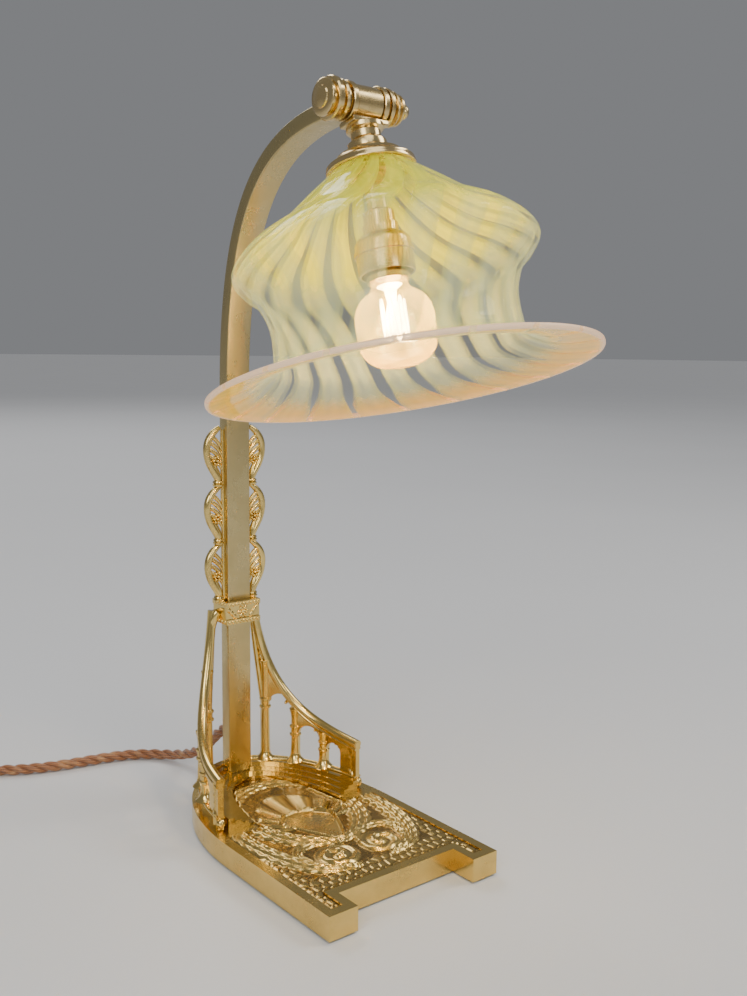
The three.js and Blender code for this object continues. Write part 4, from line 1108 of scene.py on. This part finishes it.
@dataclass
class Deck(Part):
    """The chased deck in the base's sunk field: leaf scrolls round a fluted, smooth dish."""

    step: float = 0.6
    wall: float = 0.3
    border: float = 5.5
    foot: float = 17.7
    notch: float = 16.0
    pocket: float = 1.0
    pocket_end: float = 6.0
    ledge: float = 8.4
    band_step: float = 4.0
    clear: float = 0.3
    rim: float = 1.7
    dish_radius: float = 30.0
    dish_depth: float = 3.4
    dish_y: float = 18.0
    heart: float = 17.5
    heart_y: float = 1.0
    heart_soft: float = 2.4
    tip_y: float = -33.0
    flutes: int = 18
    flute_height: float = 1.9
    fan_y: float = -8.0
    fan_reach: float = 51.0
    fan_narrow: float = 1.75
    lobe: float = 7.4
    cell: float = 5.2
    cell_height: float = 0.8
    cell_groove: float = 1.5
    cells_from: tuple[float, float] = (41.0, -58.0)
    cells_fade: float = 4.0
    volutes: Sequence[Point] = ((15, -47, 12.5), (38, 22, 7.5))
    right_leaves: Sequence[tuple[Sequence[tuple[float, float]], float, float]] = field(
        default_factory=lambda: [
            ([(28, 42), (40, 26), (46, 4), (45, -18), (39, -40), (29, -56), (12, -63)], 2.7, 7.8),
            ([(27, 36), (32, 18), (31, 0), (25, -15), (14, -27), (1, -34)], 2.6, 8.2),
            ([(-8, 56), (8, 56), (22, 49), (31, 36), (34, 22)], 2.2, 7.6),
            ([(30, -50), (33, -36), (26, -28), (13, -29), (5, -38)], 2.0, 4.5),
        ])

    def heights(self, x: np.ndarray, y: np.ndarray) -> np.ndarray:
        """How far each place of the deck stands above the sunk field, in millimetres.

        Args:
            x: Places across, in millimetres.
            y: Places along.

        Returns:
            The heights.
        """
        side = np.abs(x)
        relief = np.zeros_like(x)
        for leaf, crest, spread in self.right_leaves:
            knots = smooth_line([(a, b, 0) for a, b in leaf], 8)
            line = np.array([(p.x, p.y) for p in knots])
            share, offset = self._nearest(side, y, line)
            length = np.hypot(*np.diff(line, axis=0).T).sum()
            beat = 2 * np.pi * (share * round(length / self.lobe))
            width = spread * np.sin(np.pi * np.clip(share * 0.9 + 0.07, 0, 1)) ** 0.55
            width = np.maximum(width * (0.91 + 0.09 * np.cos(beat)), 0.3)
            reach = np.abs(offset) / width
            inside = np.clip(1 - reach ** 2.4, 0, 1)
            veins = 0.5 + 0.5 * np.cos(reach * 9.5)
            lobes = 0.9 + 0.1 * np.cos(beat - reach * 4.0)
            leaf_height = crest * np.sqrt(inside) * (0.35 + 0.65 * veins) * lobes
            relief = np.maximum(relief, leaf_height)
        for centre_x, centre_y, radius in self.volutes:
            relief = np.maximum(relief, self._volute(side - centre_x, y - centre_y, radius))
        edge_x, edge_y = self.cells_from
        margin = np.clip(np.maximum(edge_y - y, side - edge_x) / self.cells_fade, 0, 1)
        return np.maximum(relief, self._cells(x, y) * np.clip(margin + 0.2, 0, 1))

    def _nearest(self, x: np.ndarray, y: np.ndarray,
                 line: np.ndarray) -> tuple[np.ndarray, np.ndarray]:
        """The share of a line's length that is nearest, and the signed offset from there."""
        best = np.full(x.shape, 1e9)
        share = np.zeros(x.shape)
        signed = np.zeros(x.shape)
        for index, (start, end) in enumerate(zip(line, line[1:])):
            along = end - start
            t = ((x - start[0]) * along[0] + (y - start[1]) * along[1]) / (along @ along)
            t = np.clip(t, 0, 1)
            dx, dy = x - start[0] - t * along[0], y - start[1] - t * along[1]
            gap = np.hypot(dx, dy)
            near = gap < best
            best = np.where(near, gap, best)
            share = np.where(near, (index + t) / (len(line) - 1), share)
            side = np.sign(along[0] * dy - along[1] * dx)
            signed = np.where(near, gap * side, signed)
        return share, signed

    def _cells(self, x: np.ndarray, y: np.ndarray) -> np.ndarray:
        """Small domed cells packed like scales, on the ground between the leaves."""
        chance = np.random.default_rng(7)
        columns, rows = (int(span / self.cell) for span in (120, 200))
        tree = KDTree(columns * rows)
        for index in range(columns * rows):
            row, column = divmod(index, columns)
            drift_x, drift_y = chance.uniform(-0.28, 0.28, 2) + (row % 2 * 0.5, 0)
            place = ((column + drift_x) * self.cell - 60, (row + drift_y) * self.cell - 100, 0)
            tree.insert(place, index)
        tree.balance()
        gaps = np.empty(x.shape)
        for index, place in enumerate(zip(x, y)):
            near, next_near = tree.find_n((*place, 0), 2)
            gaps[index] = next_near[2] - near[2]
        return self.cell_height * np.sqrt(np.clip(gaps / self.cell_groove, 0, 1))

    def _volute(self, x: np.ndarray, y: np.ndarray, radius: float) -> np.ndarray:
        """A rolled scroll end: a spiral ridge that rises to its eye."""
        reach = np.hypot(x, y)
        turn = np.arctan2(y, x)
        share = reach / radius
        ridge = (0.5 + 0.5 * np.cos(turn + share * 10.0)) ** 1.2
        lobes = 0.86 + 0.14 * np.cos(turn * 7 + share * 6.0)
        fade = np.clip((1.06 - share) * 3.2, 0, 1) ** 0.6
        return (0.7 + 1.9 * ridge * lobes) * fade

    def _fan(self, x: np.ndarray, y: np.ndarray) -> np.ndarray:
        """Hollow flutes that fan out from the smooth dish to the back of the bowl."""
        behind = y - self.fan_y
        ridge = np.abs(np.cos(np.arctan2(x, behind) * self.flutes / 2)) ** 1.4
        reach = np.hypot(x * self.fan_narrow, behind)
        ring = np.clip((self.fan_reach - reach) / 4, 0, 1) ** 0.5
        return self.flute_height * ridge * ring * np.clip((behind + 2) / 6, 0, 1)

    def ground(self, x: np.ndarray, y: np.ndarray) -> tuple[np.ndarray, np.ndarray]:
        """The dish's own surface below the field, and how far into the smooth dish a place is."""
        ball = (self.dish_radius ** 2 + self.dish_depth ** 2) / (2 * self.dish_depth)
        reach = np.hypot(x, y - self.dish_y)
        bowl = ball - self.dish_depth - np.sqrt(np.maximum(ball ** 2 - reach ** 2, 0))
        bowl = np.where(reach < self.dish_radius, np.minimum(bowl, 0), 0)
        back = self.heart * np.sqrt(np.clip(1 - ((y - self.heart_y) / self.heart) ** 2, 0, 1))
        ahead = (y - self.tip_y) / (self.heart_y - self.tip_y)
        tip = self.heart * np.clip(ahead, 0, 1) ** 0.72
        half = np.where(y > self.heart_y, back, tip)
        return bowl, np.clip((half - np.abs(x)) / self.heart_soft, 0, 1)

    def make(self) -> Piece:
        """Models the deck.

        Returns:
            The deck piece.
        """
        plate_low, plate_high = box("base_plate")
        half = plate_high.x - self.border
        front = plate_low.y + self.border
        steps = 4 * self.band_step
        band_a = box("gallery_band")[1].x - self.clear - steps
        back = plate_high.y - self.ledge - steps - 2 * self.clear
        top = plate_high.z - self.pocket
        obj = added("chased_deck", bpy.ops.mesh.primitive_grid_add,
                    (2 * half * MM, (back - front) * MM, 1),
                    x_subdivisions=int(2 * half / self.step),
                    y_subdivisions=int((back - front) / self.step), size=1.0,
                    location=(0, (back + front) / 2 * MM, top * MM))
        settled(obj)
        mesh = obj.data
        co = np.empty(len(mesh.vertices) * 3)
        mesh.vertices.foreach_get("co", co)
        co = co.reshape(-1, 3) / MM
        x, y = co[:, 0], co[:, 1]
        limit = np.where(y > self.pocket_end, band_a * np.sqrt(np.clip(
            1 - (y / back) ** 2, 0, 1)), half)
        notch_end = plate_low.y + self.notch + self.border
        foot_inner = plate_high.x - self.foot + self.border
        outside = (np.abs(x) > limit) | ((y < notch_end) & (np.abs(x) < foot_inner))
        edge = np.minimum(limit - np.abs(x), y - front)
        cut = np.where(np.abs(x) < foot_inner, y - notch_end,
                       np.where(y < notch_end, np.abs(x) - foot_inner, 99))
        edge = np.clip(np.minimum(edge, cut), 0, 2.0) / 2.0
        bowl, smooth = self.ground(x, y)
        relief = np.maximum(self.heights(x, y), self._fan(x, y))
        rim = np.exp(-((smooth - 0.3) / 0.3) ** 2) * (smooth > 0) * self.rim
        raised = relief * (1 - smooth) * edge + rim * edge
        co[:, 2] = top + 0.08 + bowl + raised
        mesh.vertices.foreach_set("co", (co * MM).ravel())
        # The raised attribute holds how high each place stands: low ones darken with patina and painted shade, and
        # the smooth dish stays bright.
        depth = mesh.attributes.new("raised", "FLOAT", "POINT")
        shade = np.where(smooth > 0.5, 1.0, np.clip(raised / self.rim, 0, 1))
        depth.data.foreach_set("value", shade.astype(np.float32))
        self._trim(obj, outside)
        return smoothed(obj, 80)

    def _trim(self, obj: Piece, outside: np.ndarray) -> None:
        """Deletes the faces outside the sunk field and gives the rest a thin wall."""
        mesh = obj.data
        for element in (*mesh.vertices, *mesh.edges):
            element.select = False
        for polygon in mesh.polygons:
            polygon.select = any(outside[v] for v in polygon.vertices)
        only(obj)
        bpy.ops.object.mode_set(mode="EDIT")
        bpy.ops.mesh.select_mode(type="FACE")
        bpy.ops.mesh.delete(type="FACE")
        edited()
        applied(obj, "SOLIDIFY", thickness=self.wall * MM, offset=-1.0)

    def dress(self) -> None:
        """Makes the deck and gives it its finish."""
        self.finishes.dress(self.make(), Slot.CAST_BRASS, Body.BASE, look=self.finishes.chased)


@dataclass
class Gallery(Part):
    """Cast ornament on the fretted wall: turned balusters, a rail, leaves, beads and rings."""

    wall_a: float = 50.3
    wall_b: float = 89.3
    start: float = 12.0
    angles: Sequence[float] = (31.0, 47.0, 65.0)
    rail_low: float = 41.0
    rail_top: float = 123.0

    def __post_init__(self) -> None:
        """Takes the sill's top and the collar's side from the frame."""
        self.sill = box("gallery_back_sill")[1].z
        self.collar_half = box("post_collar")[1].x

    def at(self, degrees: float) -> tuple[float, float]:
        """The wall's middle line at an angle."""
        angle = math.radians(degrees)
        return self.wall_a * math.cos(angle), self.wall_b * math.sin(angle)

    def wall_y(self, x: float) -> float:
        """The wall's middle line at a place across."""
        return self.wall_b * math.sqrt(max(1 - (x / self.wall_a) ** 2, 0))

    def rail(self) -> list[tuple[float, float]]:
        """The rail seen from the front: a hollow curve of places across and heights."""
        x0 = self.collar_half + 2.8
        x3 = self.at(self.start)[0]
        knots = ((x0, self.rail_top), (self.collar_half + 6, self.rail_top * 0.76),
                 (self.wall_a * 0.56, self.rail_low + 16), (x3, self.rail_low))
        return [tuple(p.xy) for p in bezier([Vector((*k, 0)) for k in knots], 32)]

    def height_at(self, x: float) -> float:
        """The rail's height at a place across."""
        line = self.rail()
        return float(np.interp(x, [p[0] for p in line], [p[1] for p in line]))

    def baluster(self, degrees: float) -> Piece:
        """One turned baluster with its rings and foot."""
        x, y = self.at(degrees)
        top = self.height_at(x) - 1.0
        middle = self.sill + (top - self.sill) * 0.55
        foot = self.sill - 0.5
        profile = [
            (0, foot), (6.2, foot), (5.2, foot + 1.0), (3.8, foot + 2.6), (3.1, foot + 5.4),
            (2.7, middle - 4.2), (3.8, middle - 3.2), (3.8, middle - 2.2), (2.9, middle - 1.5),
            (3.1, middle + 1.3), (3.8, middle + 2.1), (3.8, middle + 3.1), (2.7, middle + 4.0),
            (2.9, top - 7.5), (3.3, top - 4.6), (3.9, top - 2.6), (3.9, top - 1.8), (0, top - 1.2)]
        return turned("baluster", profile, Matrix.Translation((x * MM, y * MM, 0)), 20)

    def leaf(self, degrees: float, up: float, size: Sequence[float]) -> Piece:
        """A small leaf boss on the wall at an angle and height."""
        x, y = self.at(degrees)
        angle = math.radians(degrees)
        normal = math.atan2(math.sin(angle) / self.wall_b, math.cos(angle) / self.wall_a)
        turn = Matrix.Rotation(normal, 4, "Z")
        return boss("leaf", (x, y, up), size, turn, 0.55)

    def side(self) -> list[Piece]:
        """Every ornament of the right-hand wing."""
        made = [self.baluster(a) for a in self.angles]
        line = self.rail()
        points = [(x, self.wall_y(x), z) for x, z in line]
        made.append(rod_along("rail", [(x, y, z + 0.4) for x, y, z in points],
                              [2.9] * len(points)))
        for shift in (-1.9, 1.9):
            edge = [(x * (1 + shift / self.wall_a), y * (1 + shift / self.wall_b), z - 2.2)
                    for x, y, z in points]
            made.append(rod_along("rail_bead", edge, [0.9] * len(edge), 2))
        edges = [21.0, *self.angles]
        for low, high in zip(edges, self.angles):
            for share in (0.12, 0.3, 0.5, 0.7, 0.88):
                angle = low + (high - low) * share
                x = self.at(angle)[0]
                arch = 7.0 + 2.5 * abs(share - 0.5) * 2
                made.append(self.leaf(angle, self.height_at(x) - arch + 2.2, (2.1, 1.5, 1.3)))
        post_edge = [(self.collar_half + 2.0, 118), (self.collar_half + 3.4, 100),
                     (self.collar_half + 6.0, 80), (self.collar_half + 7.6, 62),
                     (self.at(65)[0] + 0.6, 48)]
        made.append(rod_along("bay_edge", [(x, self.wall_y(x), z) for x, z in post_edge],
                              [1.5, 1.6, 1.8, 2.0, 2.2]))
        for index in range(7):
            share = index / 6
            x = self.collar_half + 4.5 + share * 7
            z = 104 - share * 42
            angle = math.degrees(math.acos(x / self.wall_a))
            made.append(self.leaf(angle, z, (2.3, 1.7, 3.2)))
        for up, size in ((24, 3.4), (28.5, 2.8), (33, 3.1), (37.5, 2.4)):
            made.append(self.leaf(15.5, up, (size, size * 0.8, 2.6)))
        made.append(boss("end_ball", (*self.at(12.0), 17.6), (2.9, 2.9, 2.9)))
        top = self.rail_top
        shoulder = [(self.collar_half + 0.6, 83.0, top - 0.5),
                    (self.collar_half + 3.2, 84.0, top - 4),
                    (self.collar_half + 4.2, 84.8, top - 13)]
        made.append(rod_along("shoulder", shoulder, [2.7, 3.2, 2.4]))
        return made

    def dress(self) -> None:
        """Makes both wings' ornament and the sill's moulding."""
        right = joined("gallery_ornament_right", self.side())
        for piece in (right, mirrored(right, "gallery_ornament_left")):
            self.finishes.dress(smoothed(piece, 45), Slot.CAST_BRASS, Body.BASE)
        sills = []
        for inset in (-2.2, 2.2):
            middle = [self.at(self.start + step * (180 - 2 * self.start) / 48)
                      for step in range(49)]
            points = [(x * (1 + inset / self.wall_a), y * (1 + inset / self.wall_b),
                       self.sill - 0.4) for x, y in middle]
            sills.append(rod_along("sill_bead", points, [0.8] * len(points), 2))
        self.finishes.dress(joined("gallery_sill_beads", sills), Slot.CAST_BRASS, Body.BASE)


# ---------- post and arm ----------


@dataclass
class Arm(Part):
    """The rectangular tube that rises as the post and bends over into the arm."""

    width: float = 16.0
    depth: float = 9.0
    straight_top: float = 250.0
    lift: float = 106.0
    lead: float = 83.0
    dip: float = 2.0
    steps: int = 64

    def path(self) -> list[Vector]:
        """The middle line from the base to the knuckle, in millimetres."""
        low, high = box("post_arm")
        post_y = high.y - self.depth / 2
        knuckle_z = TILT_AXIS[2] / MM
        start = Vector((0, post_y, self.straight_top))
        end = Vector((0, low.y, knuckle_z))
        first = start + Vector((0, 0, self.lift))
        second = Vector((0, end.y + self.lead, knuckle_z - self.dip))
        return [Vector((0, post_y, low.z)), *bezier((start, first, second, end), self.steps)]

    def make(self) -> Piece:
        """Extrudes the tube's section along its line, turning it at every step.

        Returns:
            The arm with rounded long edges.
        """
        line = self.path()
        obj = added("bent_arm", bpy.ops.mesh.primitive_plane_add,
                    (self.width * MM, self.depth * MM, 1), size=1.0, location=line[0] * MM)
        edit_all()
        last = Vector((0, 0, 1))
        for index, (start, end) in enumerate(zip(line, line[1:])):
            after = line[index + 2] if index + 2 < len(line) else end
            ahead = (end - start).normalized() + (after - end).normalized()
            ahead = ahead.normalized() if ahead.length > 0 else last
            bpy.ops.mesh.extrude_region_move(
                TRANSFORM_OT_translate={"value": tuple((end - start) * MM)})
            angle = math.atan2(-ahead.y, ahead.z) - math.atan2(-last.y, last.z)
            if abs(angle) > 1e-7:
                bpy.ops.transform.rotate(value=-angle, orient_axis="X",
                                         center_override=tuple(end * MM))
            last = ahead
        edited()
        applied(outward(settled(obj)), "BEVEL", width=0.7 * MM, segments=3,
                limit_method="ANGLE", angle_limit=SHARP)
        return smoothed(obj, 30)

    def dress(self) -> None:
        """Makes the arm and gives it its finish."""
        self.finishes.dress(self.make(), Slot.DRAWN_BRASS, Body.BASE, "post_arm")


@dataclass
class SideScrolls(Part):
    """Three C-scrolls up each side of the post, each with a leaf, an eye and a collared foot."""

    tiers: int = 3
    inner: float = 8.4
    thickness: float = 2.2

    def tier(self, foot: float, pitch: float, y: float, reach: float) -> list[Piece]:
        """One scroll from its collared foot to the curl above it.

        Args:
            foot: The height of its foot.
            pitch: Its height.
            y: The middle of its thickness.
            reach: How far it stands out from the post.

        Returns:
            Its pieces.
        """
        neck = self.inner + reach * 0.30
        crown = self.inner + reach - self.thickness * 0.8

        def at(share: float) -> float:
            """The height at a share of this tier."""
            return foot + pitch * share

        outer = [(neck - 0.6, y, at(0.05)), (neck, y, at(0.14)), (crown - 3.6, y, at(0.28)),
                 (crown - 0.8, y, at(0.44)), (crown, y, at(0.62)), (crown - 1.4, y, at(0.80)),
                 (neck + 1.6, y, at(0.93)), (neck - 1.6, y, at(0.98))]
        made = [rod_along("scroll_back", outer, [2.0, 2.4, 2.2, 2.1, 2.2, 2.3, 2.1, 1.4])]
        for step in range(4):
            share = 0.86 - 0.115 * step
            finger = [(crown - 2.0 + 0.3 * step, y, at(share)), (neck + 2.4, y, at(share - 0.04)),
                      (neck - 1.4, y, at(share - 0.13)), (self.inner + 1.0, y, at(share - 0.25))]
            made.append(rod_along("scroll_leaf", finger, [1.2, 1.5, 1.3, 0.8]))
        for step in range(7):
            turn = 2 * math.pi * step / 7
            place = (neck + 0.8 + 2.3 * math.cos(turn), y, at(0.42) + 2.3 * math.sin(turn))
            made.append(boss("scroll_petal", place, (1.15, 2.5, 1.15)))
        made.append(boss("scroll_eye", (neck + 0.8, y, at(0.42)), (1.3, 2.9, 1.3)))
        hip = [(neck + 2.6, y, at(0.36)), (neck + 0.4, y, at(0.24)), (neck - 0.6, y, at(0.10))]
        made.append(rod_along("scroll_stem", hip, [1.2, 2.3, 2.1]))
        profile = [(0, 0), (3.2, 0), (3.5, 0.9), (2.7, 1.6), (3.3, 2.3), (3.0, 3.1), (0, 3.1)]
        place = Matrix.Translation(((neck - 0.4) * MM, y * MM, (foot - 0.6) * MM))
        made.append(turned("scroll_collar", profile, place, 20))
        return made

    def dress(self) -> None:
        """Makes both sides' scrolls in place of their outlines."""
        low, high = box("side_scroll_right")
        pitch = (high.z - low.z) / self.tiers
        y = (low.y + high.y) / 2
        reach = high.x - self.inner
        pieces = []
        for tier in range(self.tiers):
            pieces += self.tier(low.z + tier * pitch, pitch, y, reach)
        spine = [(self.inner + 0.2, y, up)
                 for up in (low.z + 0.6, (low.z + high.z) / 2, high.z - 2)]
        pieces.append(rod_along("scroll_spine", spine, [1.2, 1.2, 1.2]))
        right = joined("scrolls_right", pieces)
        for piece, side in ((right, "right"), (mirrored(right, "scrolls_left"), "left")):
            self.finishes.dress(smoothed(piece, 45), Slot.CAST_BRASS, Body.BASE,
                                f"side_scroll_{side}")


@dataclass
class Collar(Part):
    """The moulded collar that binds the gallery's wings to the post."""

    def dress(self) -> None:
        """Adds a flower, a bead row and corner leaves to the collar."""
        low, high = box("post_collar")
        middle = (low.z + high.z) / 2
        front = low.y + 1.2
        made = [boss("flower_heart", (0, front - 0.2, middle), (1.5, 1.5, 1.5))]
        for petal in range(6):
            angle = math.radians(60 * petal)
            place = (2.5 * math.cos(angle), front, middle + 2.5 * math.sin(angle))
            made.append(boss("petal", place, (1.7, 1.0, 1.1), Matrix.Rotation(-angle, 4, "Y")))
        for side in (-1, 1):
            for index in range(3):
                made.append(boss("collar_leaf", (side * (6.2 + index * 1.9), front,
                                                 middle - 2 + index * 2),
                                 (1.4, 1.1, 2.6), Matrix.Rotation(side * 0.6, 4, "Y")))
        for height in (low.z + 1.5, high.z - 1.5):
            for index in range(9):
                x = (index - 4) * (high.x - low.x) / 9.4
                made.append(boss("bead", (x, low.y, height), (1.05, 0.9, 1.15)))
            made += [boss("side_bead", (side * high.x, low.y + 3 + step * 3.4, height),
                          (0.8, 1.1, 1.1)) for side in (-1, 1) for step in range(4)]
        self.finishes.dress(joined("collar_ornament", made), Slot.CAST_BRASS, Body.BASE)


# ---------- knuckle and head ----------


@dataclass
class Knuckle(Part):
    """The tilting joint: a plain eye between fork cheeks, a ringed knob and a ringed finial."""

    gap: float = 0.3
    washer: float = 1.0
    pivot: float = 3.3
    disc: float = 9.0

    def __post_init__(self) -> None:
        """Takes the eye's and the fork's half-widths from the frame."""
        self.eye_half = box("arm_eye")[1].x
        self.outside = box("shade_fork")[1].x

    def ringed(self, name: str, rings: Profile, start: float, side: int) -> Piece:
        """A ringed end piece on the bolt.

        Args:
            name: The piece's name.
            rings: Radius and distance from its inner face.
            start: How far its inner face is from the middle.
            side: 1 for the right, -1 for the left.

        Returns:
            The piece.
        """
        profile = [(0.02, side * (start + rings[0][1]))]
        profile += [(radius, side * (start + out)) for radius, out in rings]
        profile.append((0.02, side * (start + rings[-1][1])))
        return turned(name, profile, HEAD @ ALONG_X, 48)

    def dress(self) -> None:
        """Makes the knuckle's pieces."""
        start = self.outside + self.gap + self.washer + self.gap
        knob = ((8.4, 0), (9.7, 0.5), (10.0, 1.5), (9.5, 2.5), (7.7, 3.1), (7.7, 3.9),
                (10.3, 4.5), (10.9, 5.3), (10.9, 7.3), (10.3, 8.1), (8.3, 8.6), (8.3, 9.5),
                (9.2, 10.0), (9.2, 11.0), (8.4, 11.6), (5.6, 11.8), (5.2, 12.6), (2.6, 13.3),
                (1.0, 13.5))
        finial = ((9.6, 0), (10.0, 0.5), (10.0, 1.9), (9.4, 2.5), (7.0, 3.2), (7.0, 4.2),
                  (8.8, 4.8), (9.1, 5.4), (8.8, 6.2), (6.8, 7.0), (6.8, 7.8), (8.1, 8.4),
                  (8.1, 9.4), (6.0, 10.4), (3.6, 11.6), (3.0, 12.4), (3.9, 13.5), (4.0, 14.7),
                  (3.2, 16.2), (1.5, 17.2))
        for name, rings, side, body, node in (
                ("tilt_knob", knob, -1, Body.SHADE_HEAD, "pivot_knob_left"),
                ("clamp_finial", finial, 1, Body.CLAMP_NUT, "finial_nut")):
            self.finishes.dress(self.ringed(name, rings, start, side), Slot.TURNED_BRASS, body,
                                node)
        half = self.eye_half
        disc = self.disc
        barrel = turned("arm_eye_barrel", [
            (self.pivot, -half), (disc - 0.4, -half), (disc, -half + 0.4), (disc, half - 0.4),
            (disc - 0.4, half), (self.pivot, half)],
            Matrix.Translation(TILT_AXIS) @ ALONG_X, hollow=True)
        boss_y = TILT_AXIS[1] + (disc + 0.2) * MM
        block = chamfered("eye_boss", (16, 5.4, 9), Matrix.Translation(
            (0, boss_y, TILT_AXIS[2])))
        eye = smoothed(joined("arm_eye_barrel", [barrel, block]))
        self.finishes.dress(eye, Slot.DRAWN_BRASS, Body.BASE, "arm_eye",
                            look=self.finishes.by_slot[Slot.TURNED_BRASS])
        self.fork()

    def fork(self) -> None:
        """Makes the fork's cheeks, bridge and ringed neck."""
        inside = self.eye_half + self.gap
        outside = self.outside
        disc = self.disc + 1.0
        pieces = []
        for low, high in ((-outside, -inside), (inside, outside)):
            pieces.append(turned("cheek", [
                (self.pivot, low), (disc - 0.4, low), (disc, low + 0.4), (disc, high - 0.4),
                (disc - 0.4, high), (self.pivot, high)], HEAD @ ALONG_X, hollow=True))
        pieces.append(chamfered("bridge", (2 * outside, 12, 3),
                                HEAD @ Matrix.Translation((0, 0, -10.8 * MM))))
        pieces.append(turned("neck", [
            (0, -11.4), (9.2, -11.4), (9.7, -11.9), (9.7, -14.0), (9.1, -14.6), (7.7, -15.4),
            (7.6, -18.6), (8.4, -19.6), (9.9, -20.6), (10.1, -21.6), (10.1, -24.0),
            (9.6, -24.6), (0, -24.6)], HEAD, 48))
        self.finishes.dress(smoothed(joined("shade_fork_cast", pieces)), Slot.TURNED_BRASS,
                            Body.SHADE_HEAD, "shade_fork")


@dataclass
class Shade(Part):
    """The hat-shaped glass with its stepped cap, its lampholder and the lit bulb."""

    top: float = 31.3
    height: float = 109.5
    thickness: float = 2.6
    hole: float = 8.0
    cap_radius: float = 23.0
    shoulder: float = 77.0
    waist: float = 62.3
    brim: float = 98.8

    def profile(self) -> list[tuple[float, float]]:
        """The outside of the glass from its hole to the brim, radius and height."""
        knots = [
            (self.hole, 0), (self.cap_radius - 5, 0.02), (self.cap_radius + 1.6, 0.066),
            (self.shoulder * 0.47, 0.15), (self.shoulder * 0.66, 0.26),
            (self.shoulder * 0.88, 0.355), (self.shoulder, 0.452), (self.shoulder * 0.955, 0.52),
            (self.waist * 1.07, 0.585), (self.waist, 0.7), (self.waist, 0.83),
            (self.waist * 1.045, 0.898), (self.waist + (self.brim - self.waist) * 0.45, 0.968),
            (self.brim, 1)]
        line = smooth_line([(r, -self.top - share * self.height, 0) for r, share in knots], 5)
        return [(p.x, p.y) for p in line]

    def glass(self) -> Piece:
        """The glass wall, turned and then given its thickness."""
        obj = outward(settled(stacked("swirled_glass", self.profile(), 144, "NOTHING"), HEAD))
        applied(obj, "SOLIDIFY", thickness=self.thickness * MM, offset=-1.0)
        applied(obj, "BEVEL", width=0.9 * MM, segments=2, limit_method="ANGLE",
                angle_limit=math.radians(60))
        return smoothed(obj, 60)

    def cap(self) -> Piece:
        """The stepped brass cap over the top of the glass."""
        c = self.cap_radius
        return turned("stepped_cap", [
            (5.3, -26.3), (c * 0.5, -27.9), (c * 0.66, -30.3), (c - 1.4, -31.9), (c - 1.4, -34.9),
            (c - 0.3, -34.9), (c, -34.6), (c, -33.4), (c - 0.4, -32.8), (c - 0.4, -31.9),
            (c * 0.92, -31.0), (c * 0.78, -29.4), (c * 0.74, -28.3), (c * 0.72, -27.1),
            (c * 0.6, -26.5), (c * 0.5, -26.1), (c * 0.47, -25.4), (c * 0.44, -24.9),
            (5.3, -24.9)], HEAD, 72, hollow=True)

    def holder(self) -> Piece:
        """The lampholder: a ringed neck, a shouldered barrel and a skirt ring."""
        return turned("lampholder", [
            (0.02, -56), (7.0, -56), (8.0, -57), (8.0, -62.6), (9.0, -63.2), (9.0, -67.4),
            (9.4, -68.2), (12.4, -69.6), (14.2, -71.8), (14.5, -73.4), (14.5, -76),
            (15.2, -76.4), (15.2, -78.4), (14.5, -78.8), (14.5, -86.8), (14.2, -88.3),
            (13.2, -88.3), (13.1, -75), (0.02, -74.6)], HEAD, 64)

    def bulb(self) -> Piece:
        """The bulb's thin glass, from its cap round its end."""
        top = 92.2
        line = smooth_line([(9.6, -top, 0), (10.2, -top - 4, 0), (16.5, -top - 9, 0),
                            (19.8, -top - 16, 0), (19.9, -top - 27, 0), (18.2, -top - 36, 0),
                            (11.5, -top - 41.6, 0), (0.02, -top - 43, 0)], 5)
        return turned("bulb_envelope", [(p.x, p.y) for p in line], HEAD, 56)

    def filament(self) -> Piece:
        """The glowing wire: a cage of hairpins round the stem."""
        points = []
        for index in range(14):
            angle = 2 * math.pi * index / 14
            for up in ((-100, -122) if index % 2 else (-122, -100)):
                points.append((6.2 * math.cos(angle), 6.2 * math.sin(angle), up))
        wire = rod_along("filament_wire", points, [0.55] * len(points), 2)
        wire.data.transform(HEAD)
        return wire

    def dress(self) -> None:
        """Makes the head's pieces."""
        for piece, slot, *replaced in (
                (self.cap(), Slot.TURNED_BRASS, "shade_cap"),
                (self.glass(), Slot.STRIPED_GLASS, "glass_shade"),
                (self.holder(), Slot.TURNED_BRASS, "lampholder_cap", "lampholder_barrel"),
                (self.bulb(), Slot.BULB_GLASS, "bulb_glass"),
                (self.filament(), Slot.FILAMENT)):
            self.finishes.dress(piece, slot, Body.SHADE_HEAD, *replaced)


def corners(ends: tuple[Vector, Vector]) -> list[list[float]]:
    """A box's two corners as plain lists."""
    return [list(corner) for corner in ends]


def main() -> None:
    """Builds the looks in order."""
    logging.basicConfig(level=logging.INFO, format="%(name)s %(message)s")
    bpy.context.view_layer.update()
    studio = Studio()
    studio.camera()
    finishes = Finishes(Shade.top * MM, Shade.height * MM)
    finishes.dress_frame()
    plug, sleeve = Plug(finishes).make()
    flex = Flex(finishes)
    flex.make(plug, sleeve)
    flex.tie(120.0, "coil_tie_back")
    flex.tie(300.0, "coil_tie_front")
    for part in (Deck, Gallery, Arm, SideScrolls, Collar, Knuckle, Shade):
        part(finishes).dress()
    studio.floor()
    studio.lights()
    studio.bulb_light(HEAD @ Vector((0, 0, -0.112)))


if __name__ == "__main__":
    main()
